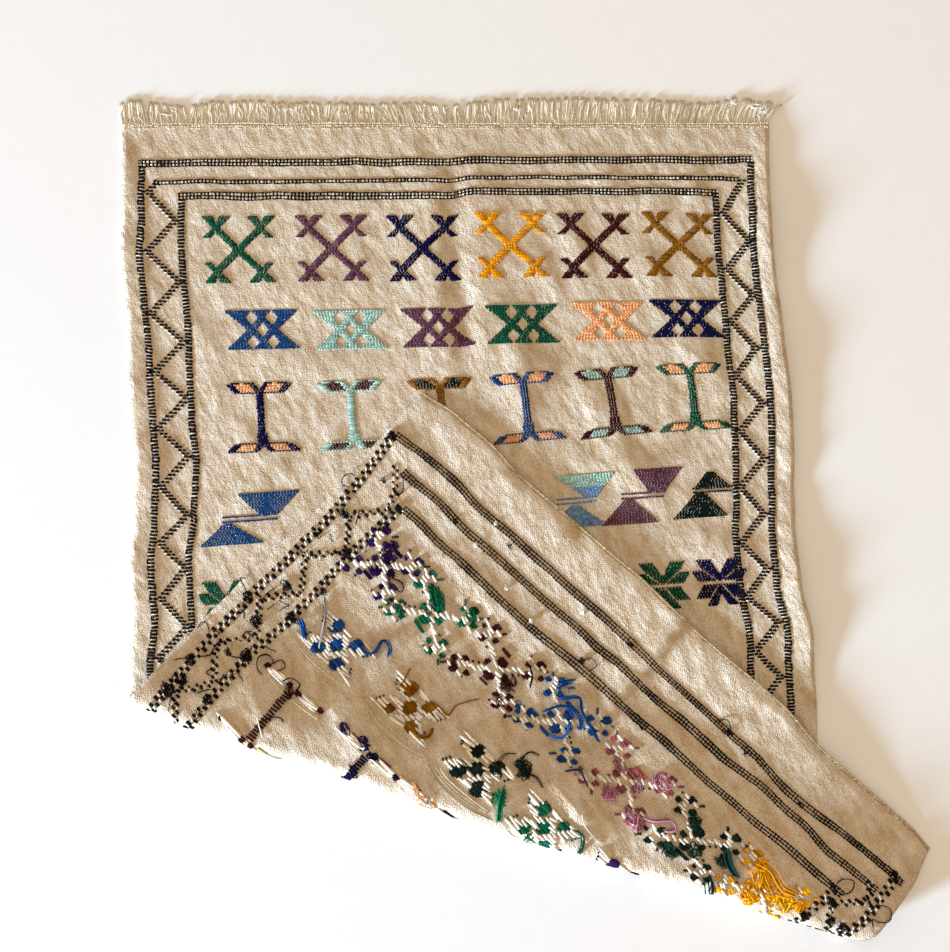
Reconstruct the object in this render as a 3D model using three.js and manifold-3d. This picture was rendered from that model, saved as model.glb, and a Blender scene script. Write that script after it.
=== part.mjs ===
// A handwoven flat-weave kilim of wool, one metre wide, as it lies on a floor. Its face is up,
// and its near end is folded up and over to the back along a slanting crease, so that the
// flap shows the back. The far end has a fringe of warp ends. Millimetres, Z up, X along the
// fringed end, Y towards the fringe. The origin is at the middle of the footprint.

import * as THREE from 'three';
import { mergeVertices } from 'three/addons/utils/BufferGeometryUtils.js';
import Module from 'manifold-3d';

// The cloth, as woven. u runs across it from the left selvedge, v from the fringed end.
const CLOTH_WIDTH = 1000;
const CLOTH_LENGTH = 1485;
const CLOTH_THICKNESS = 3;

// How it was laid: the middle of the fringed end, and the slow swing of its length to the left.
const TOP_MIDDLE = { x: -37, y: 550 };
const SWING_RADIUS = 10500;

// The crease that the near end is folded along, and the open roll that it makes there.
const CREASE_THROUGH = { x: 0, y: -490 };
const CREASE_SLANT = THREE.MathUtils.degToRad(-17);
const ROLL_RADIUS = 16;
const ROLL_LENGTH = Math.PI * ROLL_RADIUS;

// The flap comes down from the roll, and then lies a little above the lower layer.
const LAYER_RISE = 6.5;
const SAG_RUN = 150;
const HEM_RUN = 110;
const DROOP = { depth: 5, reach: 170 };

// The old storage crease down the middle of the cloth: a groove in its face, and so a
// ridge where the flap shows the back.
const GROOVE = { u: 512, end: 330, fade: 120 };
const GROOVE_BACK = { start: 1330, fade: 120, spread: 34, rise: 5 };
const GROOVE_PROFILE = [
  { off: -110, rise: 0 },
  { off: -30, rise: 5 },
  { off: 0, rise: 0.5 },
  { off: 30, rise: 5 },
  { off: 120, rise: 0 },
];

// The side edges wander: how far each selvedge lies to the right of its true line.
const SELVEDGE_SWAY = [
  { v: 0, left: -12, right: -7 },
  { v: 60, left: -8, right: -9 },
  { v: 180, left: -8, right: -9 },
  { v: 350, left: 4, right: 2 },
  { v: 450, left: 8, right: 8 },
  { v: 510, left: 13, right: 7 },
  { v: 600, left: 8, right: 2 },
  { v: 660, left: 0, right: -2 },
  { v: 740, left: 1, right: -1 },
  { v: 820, left: -11, right: 9 },
  { v: 900, left: -23, right: 6 },
  { v: 1030, left: -22, right: -2 },
  { v: 1110, left: -16, right: 0 },
  { v: 1200, left: -7, right: 0 },
  { v: 1270, left: 0, right: 8 },
  { v: 1340, left: 0, right: 22 },
  { v: 1420, left: 0, right: 22 },
  { v: CLOTH_LENGTH, left: 0, right: 12 },
];

// The weft lines wander too: how far each lies past its true place, at four places down
// the cloth. The last is the hem, whose edge bulges outward.
const WEFT_STATIONS = [
  { v: 150, name: 'border' },
  { v: 730, name: 'middle' },
  { v: 1262, name: 'flap' },
  { v: CLOTH_LENGTH, name: 'hem' },
];
const WEFT_SAG = [
  { u: 0, border: 0, middle: -7, flap: 0, hem: 5 },
  { u: 60, border: 0, middle: -7, flap: 0, hem: 14 },
  { u: 130, border: 0, middle: -7, flap: 0, hem: 16 },
  { u: 190, border: 1, middle: -6, flap: -2, hem: 10 },
  { u: 350, border: 1, middle: -3, flap: -8, hem: 14 },
  { u: 430, border: 2, middle: 0, flap: -7, hem: 17 },
  { u: 500, border: 4, middle: 1, flap: -5, hem: 14 },
  { u: 545, border: -2.5, middle: 1, flap: -5, hem: 13 },
  { u: 700, border: -3, middle: 3, flap: -4, hem: 17 },
  { u: 790, border: -1, middle: 5, flap: -2, hem: 7 },
  { u: 960, border: 5, middle: 6, flap: 2, hem: 10 },
  { u: CLOTH_WIDTH, border: 5, middle: 6, flap: 3, hem: 5 },
];

// The crease's own line, seen from above: how far it bulges outward along its run.
const CREASE_BULGE = [
  { along: -490, out: -12 },
  { along: -450, out: -5 },
  { along: -400, out: -9 },
  { along: -340, out: -2 },
  { along: -240, out: -6 },
  { along: -100, out: 0 },
  { along: 10, out: 4 },
  { along: 240, out: 2 },
  { along: 350, out: -3 },
  { along: 450, out: 1 },
  { along: 570, out: 0 },
  { along: 640, out: -8 },
];
const BULGE_REACH = 120;

// Height of the hem of the flap above its settled lie.
const HEM_LIFT = [
  { u: 0, rise: 1 },
  { u: 150, rise: 3 },
  { u: 350, rise: 5 },
  { u: 500, rise: 3 },
  { u: 620, rise: 7 },
  { u: 760, rise: 7 },
  { u: 880, rise: 2 },
  { u: CLOTH_WIDTH, rise: 0 },
];

// The selvedges of the lower layer curl off the floor here and there.
const CURL_REACH = 70;
const SELVEDGE_CURL = [
  { v: 0, left: 0, right: 0 },
  { v: 70, left: 6, right: 3 },
  { v: 140, left: 2, right: 8 },
  { v: 200, left: 7, right: 8 },
  { v: 300, left: 1, right: 2 },
  { v: 400, left: 7, right: 9 },
  { v: 460, left: 3, right: 5 },
  { v: 520, left: 7, right: 2 },
  { v: 590, left: 2, right: 2 },
  { v: 660, left: 7, right: 3 },
  { v: 740, left: 3, right: 8 },
  { v: 800, left: 0, right: 8 },
  { v: 900, left: 0, right: 2 },
  { v: 980, left: 0, right: 0 },
];

// Soft wrinkles of the lower layer, each a low ridge: its middle, its heading in degrees,
// its half length, its half width and its rise.
const FLOOR_WRINKLES = [
  { x: 95, y: 325, heading: -58, reach: 95, spread: 34, rise: 4.5 },
  { x: 155, y: 350, heading: -70, reach: 90, spread: 32, rise: 4 },
  { x: 270, y: 315, heading: -60, reach: 80, spread: 36, rise: 4 },
  { x: 285, y: 410, heading: -45, reach: 70, spread: 42, rise: 3 },
  { x: 205, y: 455, heading: -68, reach: 65, spread: 30, rise: 3 },
  { x: 330, y: 450, heading: -62, reach: 65, spread: 30, rise: 3 },
  { x: 72, y: 150, heading: -84, reach: 115, spread: 44, rise: 7 },
  { x: 190, y: 112, heading: -52, reach: 80, spread: 38, rise: 5 },
  { x: 342, y: 178, heading: -60, reach: 90, spread: 44, rise: 5 },
  { x: 240, y: 5, heading: -48, reach: 95, spread: 40, rise: 6 },
  { x: 365, y: -110, heading: -22, reach: 85, spread: 42, rise: 5 },
  { x: 430, y: -225, heading: -35, reach: 75, spread: 36, rise: 4 },
  { x: -235, y: 282, heading: 0, reach: 190, spread: 46, rise: 2.5 },
  { x: -225, y: 165, heading: -5, reach: 180, spread: 42, rise: 2.5 },
  { x: -330, y: -20, heading: 62, reach: 120, spread: 44, rise: 3 },
];

// Soft wrinkles of the flap.
const FLAP_WRINKLES = [
  { x: 180, y: -520, heading: -49, reach: 100, spread: 36, rise: 5 },
  { x: -170, y: -330, heading: 45, reach: 120, spread: 44, rise: 3 },
  { x: 20, y: -180, heading: -42, reach: 150, spread: 40, rise: 3 },
  { x: 455, y: -545, heading: -30, reach: 120, spread: 40, rise: 3 },
  { x: -330, y: -300, heading: 42, reach: 110, spread: 36, rise: 3 },
];

// The fringe: warp ends in a row, fused at the root to a strip along the cloth's end.
const PIECE_GAP = 0.3;
const STRIP_DEPTH = 5;
const ROOT_OVERLAP = 2;
const STRAND_COUNT = 190;
const STRAND_WIDTH = 3.4;
const STRAND_HEIGHT = 2;
const STRAND_TIP = 0.6;
const STRAND_WANDER = 0.7;
const FRINGE_RUN = [
  { u: 0, length: 35, lean: -8 },
  { u: 25, length: 42, lean: -4 },
  { u: 92, length: 32, lean: -2 },
  { u: 160, length: 41, lean: -3 },
  { u: 330, length: 38, lean: 0 },
  { u: 480, length: 38, lean: -9 },
  { u: 512, length: 33, lean: -7 },
  { u: 578, length: 46, lean: -1 },
  { u: 700, length: 48, lean: 5 },
  { u: 820, length: 45, lean: 9 },
  { u: 886, length: 41, lean: 12 },
  { u: 950, length: 50, lean: 15 },
  { u: 975, length: 44, lean: 18 },
  { u: CLOTH_WIDTH, length: 36, lean: 27 },
];

// The mesh of the cloth: columns of threads, and rows that fan out from the fringed end
// to the crease, go round the roll and fan in again to the hem.
const COLUMNS_EACH_HALF = 16;
const LOWER_ROWS = 27;
const ROLL_ROWS = 10;
const FLAP_ROWS = 19;
const ROLL_MARGIN = 24;

const clamp01 = (x) => THREE.MathUtils.clamp(x, 0, 1);

// 0 to 1, with no slope at either end.
const ease = (x) => THREE.MathUtils.smoothstep(x, 0, 1);

// A column of a table at a given place, eased from row to row.
function readTable(table, key, at, column) {
  if (at <= table[0][key]) return table[0][column];
  for (let i = 1; i < table.length; i += 1) {
    const a = table[i - 1];
    const b = table[i];
    if (at <= b[key]) {
      const share = ease((at - a[key]) / (b[key] - a[key]));
      return a[column] + (b[column] - a[column]) * share;
    }
  }
  return table[table.length - 1][column];
}

// How far past its true place the weft lies at u, v.
function weftSag(u, v) {
  const first = WEFT_STATIONS[0];
  if (v <= first.v) return readTable(WEFT_SAG, 'u', u, first.name) * ease(v / first.v);
  for (let i = 1; i < WEFT_STATIONS.length; i += 1) {
    const a = WEFT_STATIONS[i - 1];
    const b = WEFT_STATIONS[i];
    if (v <= b.v || i === WEFT_STATIONS.length - 1) {
      const share = clamp01((v - a.v) / (b.v - a.v));
      const before = readTable(WEFT_SAG, 'u', u, a.name);
      const after = readTable(WEFT_SAG, 'u', u, b.name);
      return before + (after - before) * share;
    }
  }
  return 0;
}

// Where u, v would lie if the cloth were spread out flat on the floor.
function spreadOut(u, v) {
  const past = v + weftSag(u, v);
  const angle = past / SWING_RADIUS;
  const middleX = TOP_MIDDLE.x + SWING_RADIUS * (1 - Math.cos(angle));
  const middleY = TOP_MIDDLE.y - SWING_RADIUS * Math.sin(angle);
  const left = readTable(SELVEDGE_SWAY, 'v', v, 'left');
  const right = readTable(SELVEDGE_SWAY, 'v', v, 'right');
  const across = u - CLOTH_WIDTH / 2 + left + (right - left) * (u / CLOTH_WIDTH);
  return new THREE.Vector2(
    middleX + across * Math.cos(angle),
    middleY + across * Math.sin(angle),
  );
}

const CREASE_ALONG = new THREE.Vector2(Math.cos(CREASE_SLANT), Math.sin(CREASE_SLANT));
const CREASE_OUT = new THREE.Vector2(Math.sin(CREASE_SLANT), -Math.cos(CREASE_SLANT));

// Distance of u, v along the crease and past it, while the cloth is still spread out.
function fromCrease(u, v) {
  const flat = spreadOut(u, v);
  flat.x -= CREASE_THROUGH.x;
  flat.y -= CREASE_THROUGH.y;
  return { along: flat.dot(CREASE_ALONG), past: flat.dot(CREASE_OUT) };
}

// Rise of a table of low ridges at x, y.
function wrinkleRise(table, x, y) {
  let rise = 0;
  for (const ridge of table) {
    const heading = THREE.MathUtils.degToRad(ridge.heading);
    const dx = x - ridge.x;
    const dy = y - ridge.y;
    const along = (dx * Math.cos(heading) + dy * Math.sin(heading)) / ridge.reach;
    const across = (dy * Math.cos(heading) - dx * Math.sin(heading)) / ridge.spread;
    rise += ridge.rise * ease(1 - Math.abs(along)) * ease(1 - Math.abs(across));
  }
  return rise;
}

// Rise of the lower layer beside the storage crease.
function grooveRise(u, v) {
  const share = ease(1 - (v - GROOVE.end) / GROOVE.fade) * ease(v / GROOVE.fade);
  return readTable(GROOVE_PROFILE, 'off', u - GROOVE.u, 'rise') * share;
}

// Rise of the flap along the storage crease.
function grooveBackRise(u, v) {
  const share = ease((v - GROOVE_BACK.start) / GROOVE_BACK.fade);
  return GROOVE_BACK.rise * ease(1 - Math.abs(u - GROOVE.u) / GROOVE_BACK.spread) * share;
}

// Height of the lower layer above its flat lie.
function floorRise(u, v, x, y) {
  const leftShare = ease(1 - u / CURL_REACH);
  const rightShare = ease(1 - (CLOTH_WIDTH - u) / CURL_REACH);
  const curl = readTable(SELVEDGE_CURL, 'v', v, 'left') * leftShare
    + readTable(SELVEDGE_CURL, 'v', v, 'right') * rightShare;
  return curl + grooveRise(u, v) + wrinkleRise(FLOOR_WRINKLES, x, y);
}

// Height of the flap above the lower layer's flat lie.
function flapRise(u, v, x, y, back) {
  const settled = LAYER_RISE + wrinkleRise(FLOOR_WRINKLES, x, y);
  const sagging = settled + (2 * ROLL_RADIUS - settled) * ease(1 - back / SAG_RUN);
  const fromHem = CLOTH_LENGTH - v;
  const lift = readTable(HEM_LIFT, 'u', u, 'rise') * ease(1 - fromHem / HEM_RUN);
  const cornerShare = ease(1 - Math.hypot(CLOTH_WIDTH - u, fromHem) / DROOP.reach);
  const awayFromRoll = ease(back / (SAG_RUN / 2));
  const ridges = wrinkleRise(FLAP_WRINKLES, x, y) + grooveBackRise(u, v);
  return sagging + lift + ridges * awayFromRoll - DROOP.depth * cornerShare;
}

// The middle of the cloth's thickness at u, v, as it lies: on the floor, round the roll,
// or on the flap.
function lie(u, v) {
  const { along, past } = fromCrease(u, v);
  const bulgeShare = ease(1 - Math.abs(past - ROLL_LENGTH / 2) / BULGE_REACH);
  let out = past;
  let rise = 0;
  if (past > ROLL_LENGTH) {
    out = ROLL_LENGTH - past;
  } else if (past > 0) {
    out = ROLL_RADIUS * Math.sin(past / ROLL_RADIUS);
    rise = ROLL_RADIUS * (1 - Math.cos(past / ROLL_RADIUS));
  }
  out += readTable(CREASE_BULGE, 'along', along, 'out') * bulgeShare;
  const x = CREASE_THROUGH.x + along * CREASE_ALONG.x + out * CREASE_OUT.x;
  const y = CREASE_THROUGH.y + along * CREASE_ALONG.y + out * CREASE_OUT.y;
  if (past <= 0) {
    rise = floorRise(u, v, x, y) * ease(-past / ROLL_LENGTH);
  } else if (past > ROLL_LENGTH) {
    rise = flapRise(u, v, x, y, past - ROLL_LENGTH);
  }
  return new THREE.Vector3(x, y, CLOTH_THICKNESS / 2 + rise);
}

// The direction that the cloth's face looks in at u, v.
function faceDirection(u, v) {
  const step = 3;
  const alongWeft = lie(u + step, v).sub(lie(u - step, v));
  const alongWarp = lie(u, v + step).sub(lie(u, v - step));
  return alongWarp.cross(alongWeft).normalize();
}

// The place down a column of threads that lies a given distance past the crease.
function findPlace(u, wanted) {
  let low = 0;
  let high = CLOTH_LENGTH;
  for (let i = 0; i < 40; i += 1) {
    const middle = (low + high) / 2;
    if (fromCrease(u, middle).past < wanted) low = middle;
    else high = middle;
  }
  return (low + high) / 2;
}

// The places of one column of the cloth's mesh, from the fringed end to the hem.
function columnPlaces(u) {
  const rollStart = findPlace(u, -ROLL_MARGIN);
  const rollEnd = findPlace(u, ROLL_LENGTH + ROLL_MARGIN);
  const places = [];
  for (let i = 0; i < LOWER_ROWS; i += 1) {
    places.push(rollStart * (i / LOWER_ROWS));
  }
  for (let i = 0; i < ROLL_ROWS; i += 1) {
    const past = -ROLL_MARGIN + (ROLL_LENGTH + 2 * ROLL_MARGIN) * (i / ROLL_ROWS);
    places.push(findPlace(u, past));
  }
  for (let i = 0; i <= FLAP_ROWS; i += 1) {
    places.push(rollEnd + (CLOTH_LENGTH - rollEnd) * (i / FLAP_ROWS));
  }
  return places;
}

function meshColumns() {
  const columns = [];
  for (let i = 0; i < COLUMNS_EACH_HALF; i += 1) {
    columns.push(GROOVE.u * (i / COLUMNS_EACH_HALF));
  }
  for (let i = 0; i <= COLUMNS_EACH_HALF; i += 1) {
    columns.push(GROOVE.u + (CLOTH_WIDTH - GROOVE.u) * (i / COLUMNS_EACH_HALF));
  }
  return columns;
}

function geometryFrom(points, triangles) {
  const geometry = new THREE.BufferGeometry();
  const flat = points.flatMap((p) => [p.x, p.y, p.z]);
  geometry.setAttribute('position', new THREE.Float32BufferAttribute(flat, 3));
  geometry.setIndex(triangles.flat());
  geometry.computeVertexNormals();
  return geometry;
}

// The woven cloth in one piece: a face skin and a back skin, closed round the four edges.
function makeCloth() {
  const columns = meshColumns();
  const rowCount = LOWER_ROWS + ROLL_ROWS + FLAP_ROWS + 1;
  const face = [];
  const back = [];
  for (const u of columns) {
    for (const v of columnPlaces(u)) {
      const middle = lie(u, v);
      const half = faceDirection(u, v).multiplyScalar(CLOTH_THICKNESS / 2);
      face.push(middle.clone().add(half));
      back.push(middle.clone().sub(half));
    }
  }
  const points = [...face, ...back];
  const backStart = face.length;
  const at = (column, row) => column * rowCount + row;
  const triangles = [];
  const addQuad = (a, b, c, d) => triangles.push([a, b, c], [a, c, d]);

  for (let c = 0; c < columns.length - 1; c += 1) {
    for (let r = 0; r < rowCount - 1; r += 1) {
      const quad = [at(c, r), at(c, r + 1), at(c + 1, r + 1), at(c + 1, r)];
      addQuad(...quad);
      addQuad(...quad.map((i) => i + backStart).reverse());
    }
  }
  const edge = [];
  for (let r = 0; r < rowCount - 1; r += 1) edge.push(at(0, r));
  for (let c = 0; c < columns.length - 1; c += 1) edge.push(at(c, rowCount - 1));
  for (let r = rowCount - 1; r > 0; r -= 1) edge.push(at(columns.length - 1, r));
  for (let c = columns.length - 1; c > 0; c -= 1) edge.push(at(c, 0));
  edge.forEach((a, i) => {
    const b = edge[(i + 1) % edge.length];
    addQuad(b, a, a + backStart, b + backStart);
  });
  return geometryFrom(points, triangles);
}

// A bar of one section after another, closed at both ends.
function makeBar(sections) {
  const points = sections.flat();
  const sides = sections[0].length;
  const last = (sections.length - 1) * sides;
  const triangles = [];
  for (let s = 0; s < sections.length - 1; s += 1) {
    for (let i = 0; i < sides; i += 1) {
      const j = (i + 1) % sides;
      const near = s * sides;
      const far = near + sides;
      triangles.push([near + i, near + j, far + j], [near + i, far + j, far + i]);
    }
  }
  for (let i = 1; i < sides - 1; i += 1) {
    triangles.push([0, i + 1, i], [last, last + i, last + i + 1]);
  }
  return geometryFrom(points, triangles);
}

// The strip that the strands are rooted in, along the whole fringed end.
function makeStrip() {
  const sections = meshColumns().map((u) => {
    const near = spreadOut(u, -PIECE_GAP);
    const far = spreadOut(u, -PIECE_GAP - STRIP_DEPTH);
    return [
      new THREE.Vector3(near.x, near.y, 0),
      new THREE.Vector3(far.x, far.y, 0),
      new THREE.Vector3(far.x, far.y, CLOTH_THICKNESS),
      new THREE.Vector3(near.x, near.y, CLOTH_THICKNESS),
    ];
  });
  return makeBar(sections);
}

// One strand: three-sided, flat on the floor, with a slight bend halfway.
function makeStrand(index) {
  const inset = STRAND_WIDTH;
  const u = inset + (CLOTH_WIDTH - 2 * inset) * (index / (STRAND_COUNT - 1));
  const uneven = Math.sin(index * 2.4) * 0.6 + Math.sin(index * 0.71) * 0.4;
  const length = readTable(FRINGE_RUN, 'u', u, 'length') * (1 + 0.06 * uneven);
  const lean = readTable(FRINGE_RUN, 'u', u, 'lean');
  const start = PIECE_GAP + STRIP_DEPTH - ROOT_OVERLAP;
  const stations = [
    { share: 0, side: 0, size: 1 },
    { share: 0.5, side: 0.35 * lean + STRAND_WANDER * uneven, size: 0.9 },
    { share: 1, side: lean, size: STRAND_TIP },
  ];
  const sections = stations.map(({ share, side, size }) => {
    const v = -start - (length - start) * share;
    const half = (STRAND_WIDTH / 2) * size;
    const low = spreadOut(u + side - half, v);
    const high = spreadOut(u + side + half, v);
    const top = spreadOut(u + side, v);
    return [
      new THREE.Vector3(low.x, low.y, 0),
      new THREE.Vector3(top.x, top.y, STRAND_HEIGHT * size),
      new THREE.Vector3(high.x, high.y, 0),
    ];
  });
  return makeBar(sections);
}

const wasm = await Module();
wasm.setup();

function toSolid(geometry) {
  const bare = geometry.clone();
  bare.deleteAttribute('normal');
  const merged = mergeVertices(bare, 1e-5);
  return new wasm.Manifold(new wasm.Mesh({
    numProp: 3,
    vertProperties: new Float32Array(merged.attributes.position.array),
    triVerts: new Uint32Array(merged.index.array),
  }));
}

function toGeometry(solid) {
  const mesh = solid.getMesh();
  const geometry = new THREE.BufferGeometry();
  geometry.setAttribute('position', new THREE.BufferAttribute(mesh.vertProperties, 3));
  geometry.setIndex(new THREE.BufferAttribute(mesh.triVerts, 1));
  geometry.computeVertexNormals();
  return geometry;
}

function makeFringe() {
  let solid = toSolid(makeStrip());
  for (let i = 0; i < STRAND_COUNT; i += 1) {
    solid = solid.add(toSolid(makeStrand(i)));
  }
  return toGeometry(solid);
}

function makeMesh(name, geometry, colour, roughness) {
  const material = new THREE.MeshStandardMaterial({ color: colour, roughness, metalness: 0 });
  const mesh = new THREE.Mesh(geometry, material);
  mesh.name = name;
  return mesh;
}

const kilim = new THREE.Group();
kilim.add(makeMesh('kilim_cloth', makeCloth(), '#d1bda1', 0.95));
kilim.add(makeMesh('warp_fringe', makeFringe(), '#cfba9c', 0.95));

// The middle of the footprint goes to the origin.
const footprint = new THREE.Box3().setFromObject(kilim);
const middle = footprint.getCenter(new THREE.Vector3());
kilim.position.set(-middle.x, -middle.y, -footprint.min.z);

export default kilim;
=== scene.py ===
import math

import bmesh
import bpy
import numpy as np
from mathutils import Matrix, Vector


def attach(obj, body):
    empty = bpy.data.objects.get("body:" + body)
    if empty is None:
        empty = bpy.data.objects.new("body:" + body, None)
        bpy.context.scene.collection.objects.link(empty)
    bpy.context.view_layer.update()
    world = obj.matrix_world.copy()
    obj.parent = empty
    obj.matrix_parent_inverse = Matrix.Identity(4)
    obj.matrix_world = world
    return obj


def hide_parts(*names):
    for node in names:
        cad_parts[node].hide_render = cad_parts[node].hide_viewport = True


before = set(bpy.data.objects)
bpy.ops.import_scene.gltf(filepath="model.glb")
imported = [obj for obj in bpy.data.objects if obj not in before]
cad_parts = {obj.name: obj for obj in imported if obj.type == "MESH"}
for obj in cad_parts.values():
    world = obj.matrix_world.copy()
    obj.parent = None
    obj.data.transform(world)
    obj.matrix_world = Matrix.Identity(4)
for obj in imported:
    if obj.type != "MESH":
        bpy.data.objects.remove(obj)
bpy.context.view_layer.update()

# The cloth is one flat weave of undyed, thick and thin handspun wool. It lies face up, and its
# near end is folded up and over along a slanting crease, so that the flap shows the back.
# Places on it are in mm as it was woven: u from the left selvedge, v from the fringed end.
CLOTH_WIDTH, CLOTH_LENGTH, CLOTH_THICKNESS = 1000.0, 1485.0, 3.0
TOP_MIDDLE = (-37.0, 550.0)
SWING_RADIUS = 10500.0
CREASE_THROUGH = (0.0, -490.0)
CREASE_SLANT = math.radians(-17.0)
ROLL_RADIUS = 16.0
ROLL_LENGTH = math.pi * ROLL_RADIUS
LAYER_RISE, SAG_RUN, HEM_RUN = 6.5, 150.0, 110.0
DROOP_DEPTH, DROOP_REACH = 5.0, 170.0
FOOTPRINT_SHIFT = (-58.1653, 38.5251)

# The storage crease: a groove in the face near the fringe, and a ridge at the back of the flap.
GROOVE_U, GROOVE_END, GROOVE_FADE = 512.0, 330.0, 120.0
RIDGE_START, RIDGE_SPREAD, RIDGE_DROP, RIDGE_RISE = 1240.0, 70.0, 12.0, 8.0
GROOVE_PROFILE = [(-110, 0), (-30, 5), (0, 0.5), (30, 5), (120, 0)]

# v, then how far the left and the right selvedge lie to the right of their true line.
SELVEDGE_SWAY = [
    (0, -12, -7), (60, -8, -9), (180, -8, -9), (350, 4, 2), (450, 8, 8), (510, 13, 7),
    (600, 8, 2), (660, 0, -2), (740, 1, -1), (820, -11, 9), (900, -23, 6), (1030, -22, -2),
    (1110, -16, 0), (1200, -7, 0), (1270, 0, 8), (1340, 0, 22), (1420, 0, 22), (1485, 0, 12),
]
# u, then how far the weft lies past its true place at the border, the middle, the flap and the hem.
SAG_STATIONS = (150, 730, 1262, 1485)
WEFT_SAG = [
    (0, 0, -7, 0, 5), (60, 0, -7, 0, 14), (130, 0, -7, 0, 16), (190, 1, -6, -2, 10),
    (350, 1, -3, -8, 14), (430, 2, 0, -7, 17), (500, 4, 1, -5, 14), (545, -2.5, 1, -5, 13),
    (700, -3, 3, -4, 17), (790, -1, 5, -2, 7), (960, 5, 6, 2, 10), (1000, 5, 6, 3, 5),
]
# Distance along the crease, then how far its line bulges outward.
CREASE_BULGE = [
    (-490, -12), (-450, -5), (-400, -9), (-340, -2), (-240, -6), (-100, 0), (10, 4),
    (240, 2), (350, -3), (450, 1), (570, 0), (640, -8),
]
BULGE_REACH = 120.0
# u, then the height of the hem above its settled lie.
HEM_LIFT = [(0, 1), (150, 3), (350, 5), (500, 3), (620, 7), (760, 7), (880, 2), (1000, 0)]
# v, then the rise of the left and the right selvedge off the floor.
CURL_REACH = 70.0
SELVEDGE_CURL = [
    (0, 0, 0), (70, 6, 3), (140, 2, 8), (200, 7, 8), (300, 1, 2), (400, 7, 9), (460, 3, 5),
    (520, 7, 2), (590, 2, 2), (660, 7, 3), (740, 3, 8), (800, 0, 8), (900, 0, 2), (980, 0, 0),
]
# Soft wrinkles: middle x and y, heading in degrees, half length, half width, rise.
FLOOR_WRINKLES = [
    (95, 325, -58, 95, 34, 4.5), (155, 350, -70, 90, 32, 4), (270, 315, -60, 80, 36, 4),
    (285, 410, -45, 70, 42, 3), (205, 455, -68, 65, 30, 3), (330, 450, -62, 65, 30, 3),
    (72, 150, -84, 115, 44, 7), (190, 112, -52, 80, 38, 5), (342, 178, -60, 90, 44, 5),
    (240, 5, -48, 95, 40, 6), (365, -110, -22, 85, 42, 5), (430, -225, -35, 75, 36, 4),
    (-235, 282, 0, 190, 46, 2.5), (-225, 165, -5, 180, 42, 2.5), (-330, -20, 62, 120, 44, 3),
]
FLAP_WRINKLES = [
    (180, -520, -49, 100, 36, 5), (-170, -330, 45, 120, 44, 3), (20, -180, -42, 150, 40, 3),
    (455, -545, -30, 120, 40, 3), (-330, -300, 42, 110, 36, 3),
]
# Puffs of the flap behind the roll, a ridge down from the middle, and a shelf before the hem.
FLAP_PUFFS = [
    (-304, -355, -17, 70, 38, 4), (-156, -392, -17, 75, 42, 6), (-24, -430, -17, 50, 40, 4),
    (113, -462, -17, 80, 48, 7), (292, -527, -17, 90, 44, 6), (448, -583, -17, 80, 38, 4),
    (139, -481, -54, 90, 17, 4), (333, -461, -17, 290, 112, 8), (339, -474, -42.6, 200, 85, 3.5),
    (-160, -320, -17, 300, 105, 7), (-190, -300, -17, 60, 30, -3), (250, -398, -42.6, 110, 80, 5),
]
# At its very edge the right selvedge turns up off the floor, and the edges of the flap turn down.
EDGE_REACH, EDGE_DROOP, HEM_DROOP = 18.0, 1.0, 2.0
# v, then the rise of the right edge.
EDGE_TURN = [
    (0, 2), (60, 3.5), (110, 1), (190, 4.5), (250, 2), (330, 4), (420, 1.5), (520, 3.5), (600, 1.5),
    (700, 4), (820, 3), (900, 1),
]
# Shallow wrinkles run the same way all over, as damp wool dries.
SMALL_WRINKLES = [
    (
        place.uniform(-520, 560), place.uniform(-620, 540), place.normal(-60, 16), place.uniform(40, 85),
        place.uniform(15, 28), place.choice([-1, 1]) * place.uniform(1.2, 2.6),
    )
    for place in [np.random.default_rng(seed) for seed in range(100, 210)]
]
# The hollows between them lie on the floor, with this gap for the fuzz of the wool.
FLOOR_GAP, FLOOR_SOFTNESS = 0.7, 1.0


def ease(x):
    x = np.clip(x, 0.0, 1.0)
    return x * x * (3.0 - 2.0 * x)


def read(table, at, column=1):
    table = np.asarray(table, float)
    places, values = table[:, 0], table[:, column]
    at = np.clip(at, places[0], places[-1])
    row = np.clip(np.searchsorted(places, at, side="right") - 1, 0, len(places) - 2)
    share = ease((at - places[row]) / (places[row + 1] - places[row]))
    return values[row] + (values[row + 1] - values[row]) * share


def weft_sag(u, v):
    stations = [read(WEFT_SAG, u, column) for column in (1, 2, 3, 4)]
    sag = stations[0] * ease(v / SAG_STATIONS[0])
    for i in range(1, 4):
        start, end = SAG_STATIONS[i - 1], SAG_STATIONS[i]
        share = np.clip((v - start) / (end - start), 0, 1)
        between = stations[i - 1] + (stations[i] - stations[i - 1]) * share
        sag = np.where(v > start, between, sag)
    return sag


def spread_out(u, v):
    angle = (v + weft_sag(u, v)) / SWING_RADIUS
    left, right = read(SELVEDGE_SWAY, v, 1), read(SELVEDGE_SWAY, v, 2)
    across = u - CLOTH_WIDTH / 2 + left + (right - left) * (u / CLOTH_WIDTH)
    x = TOP_MIDDLE[0] + SWING_RADIUS * (1 - np.cos(angle)) + across * np.cos(angle)
    y = TOP_MIDDLE[1] - SWING_RADIUS * np.sin(angle) + across * np.sin(angle)
    return x, y


CREASE_ALONG = (math.cos(CREASE_SLANT), math.sin(CREASE_SLANT))
CREASE_OUT = (math.sin(CREASE_SLANT), -math.cos(CREASE_SLANT))


def from_crease(u, v):
    x, y = spread_out(u, v)
    x, y = x - CREASE_THROUGH[0], y - CREASE_THROUGH[1]
    return x * CREASE_ALONG[0] + y * CREASE_ALONG[1], x * CREASE_OUT[0] + y * CREASE_OUT[1]


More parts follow.
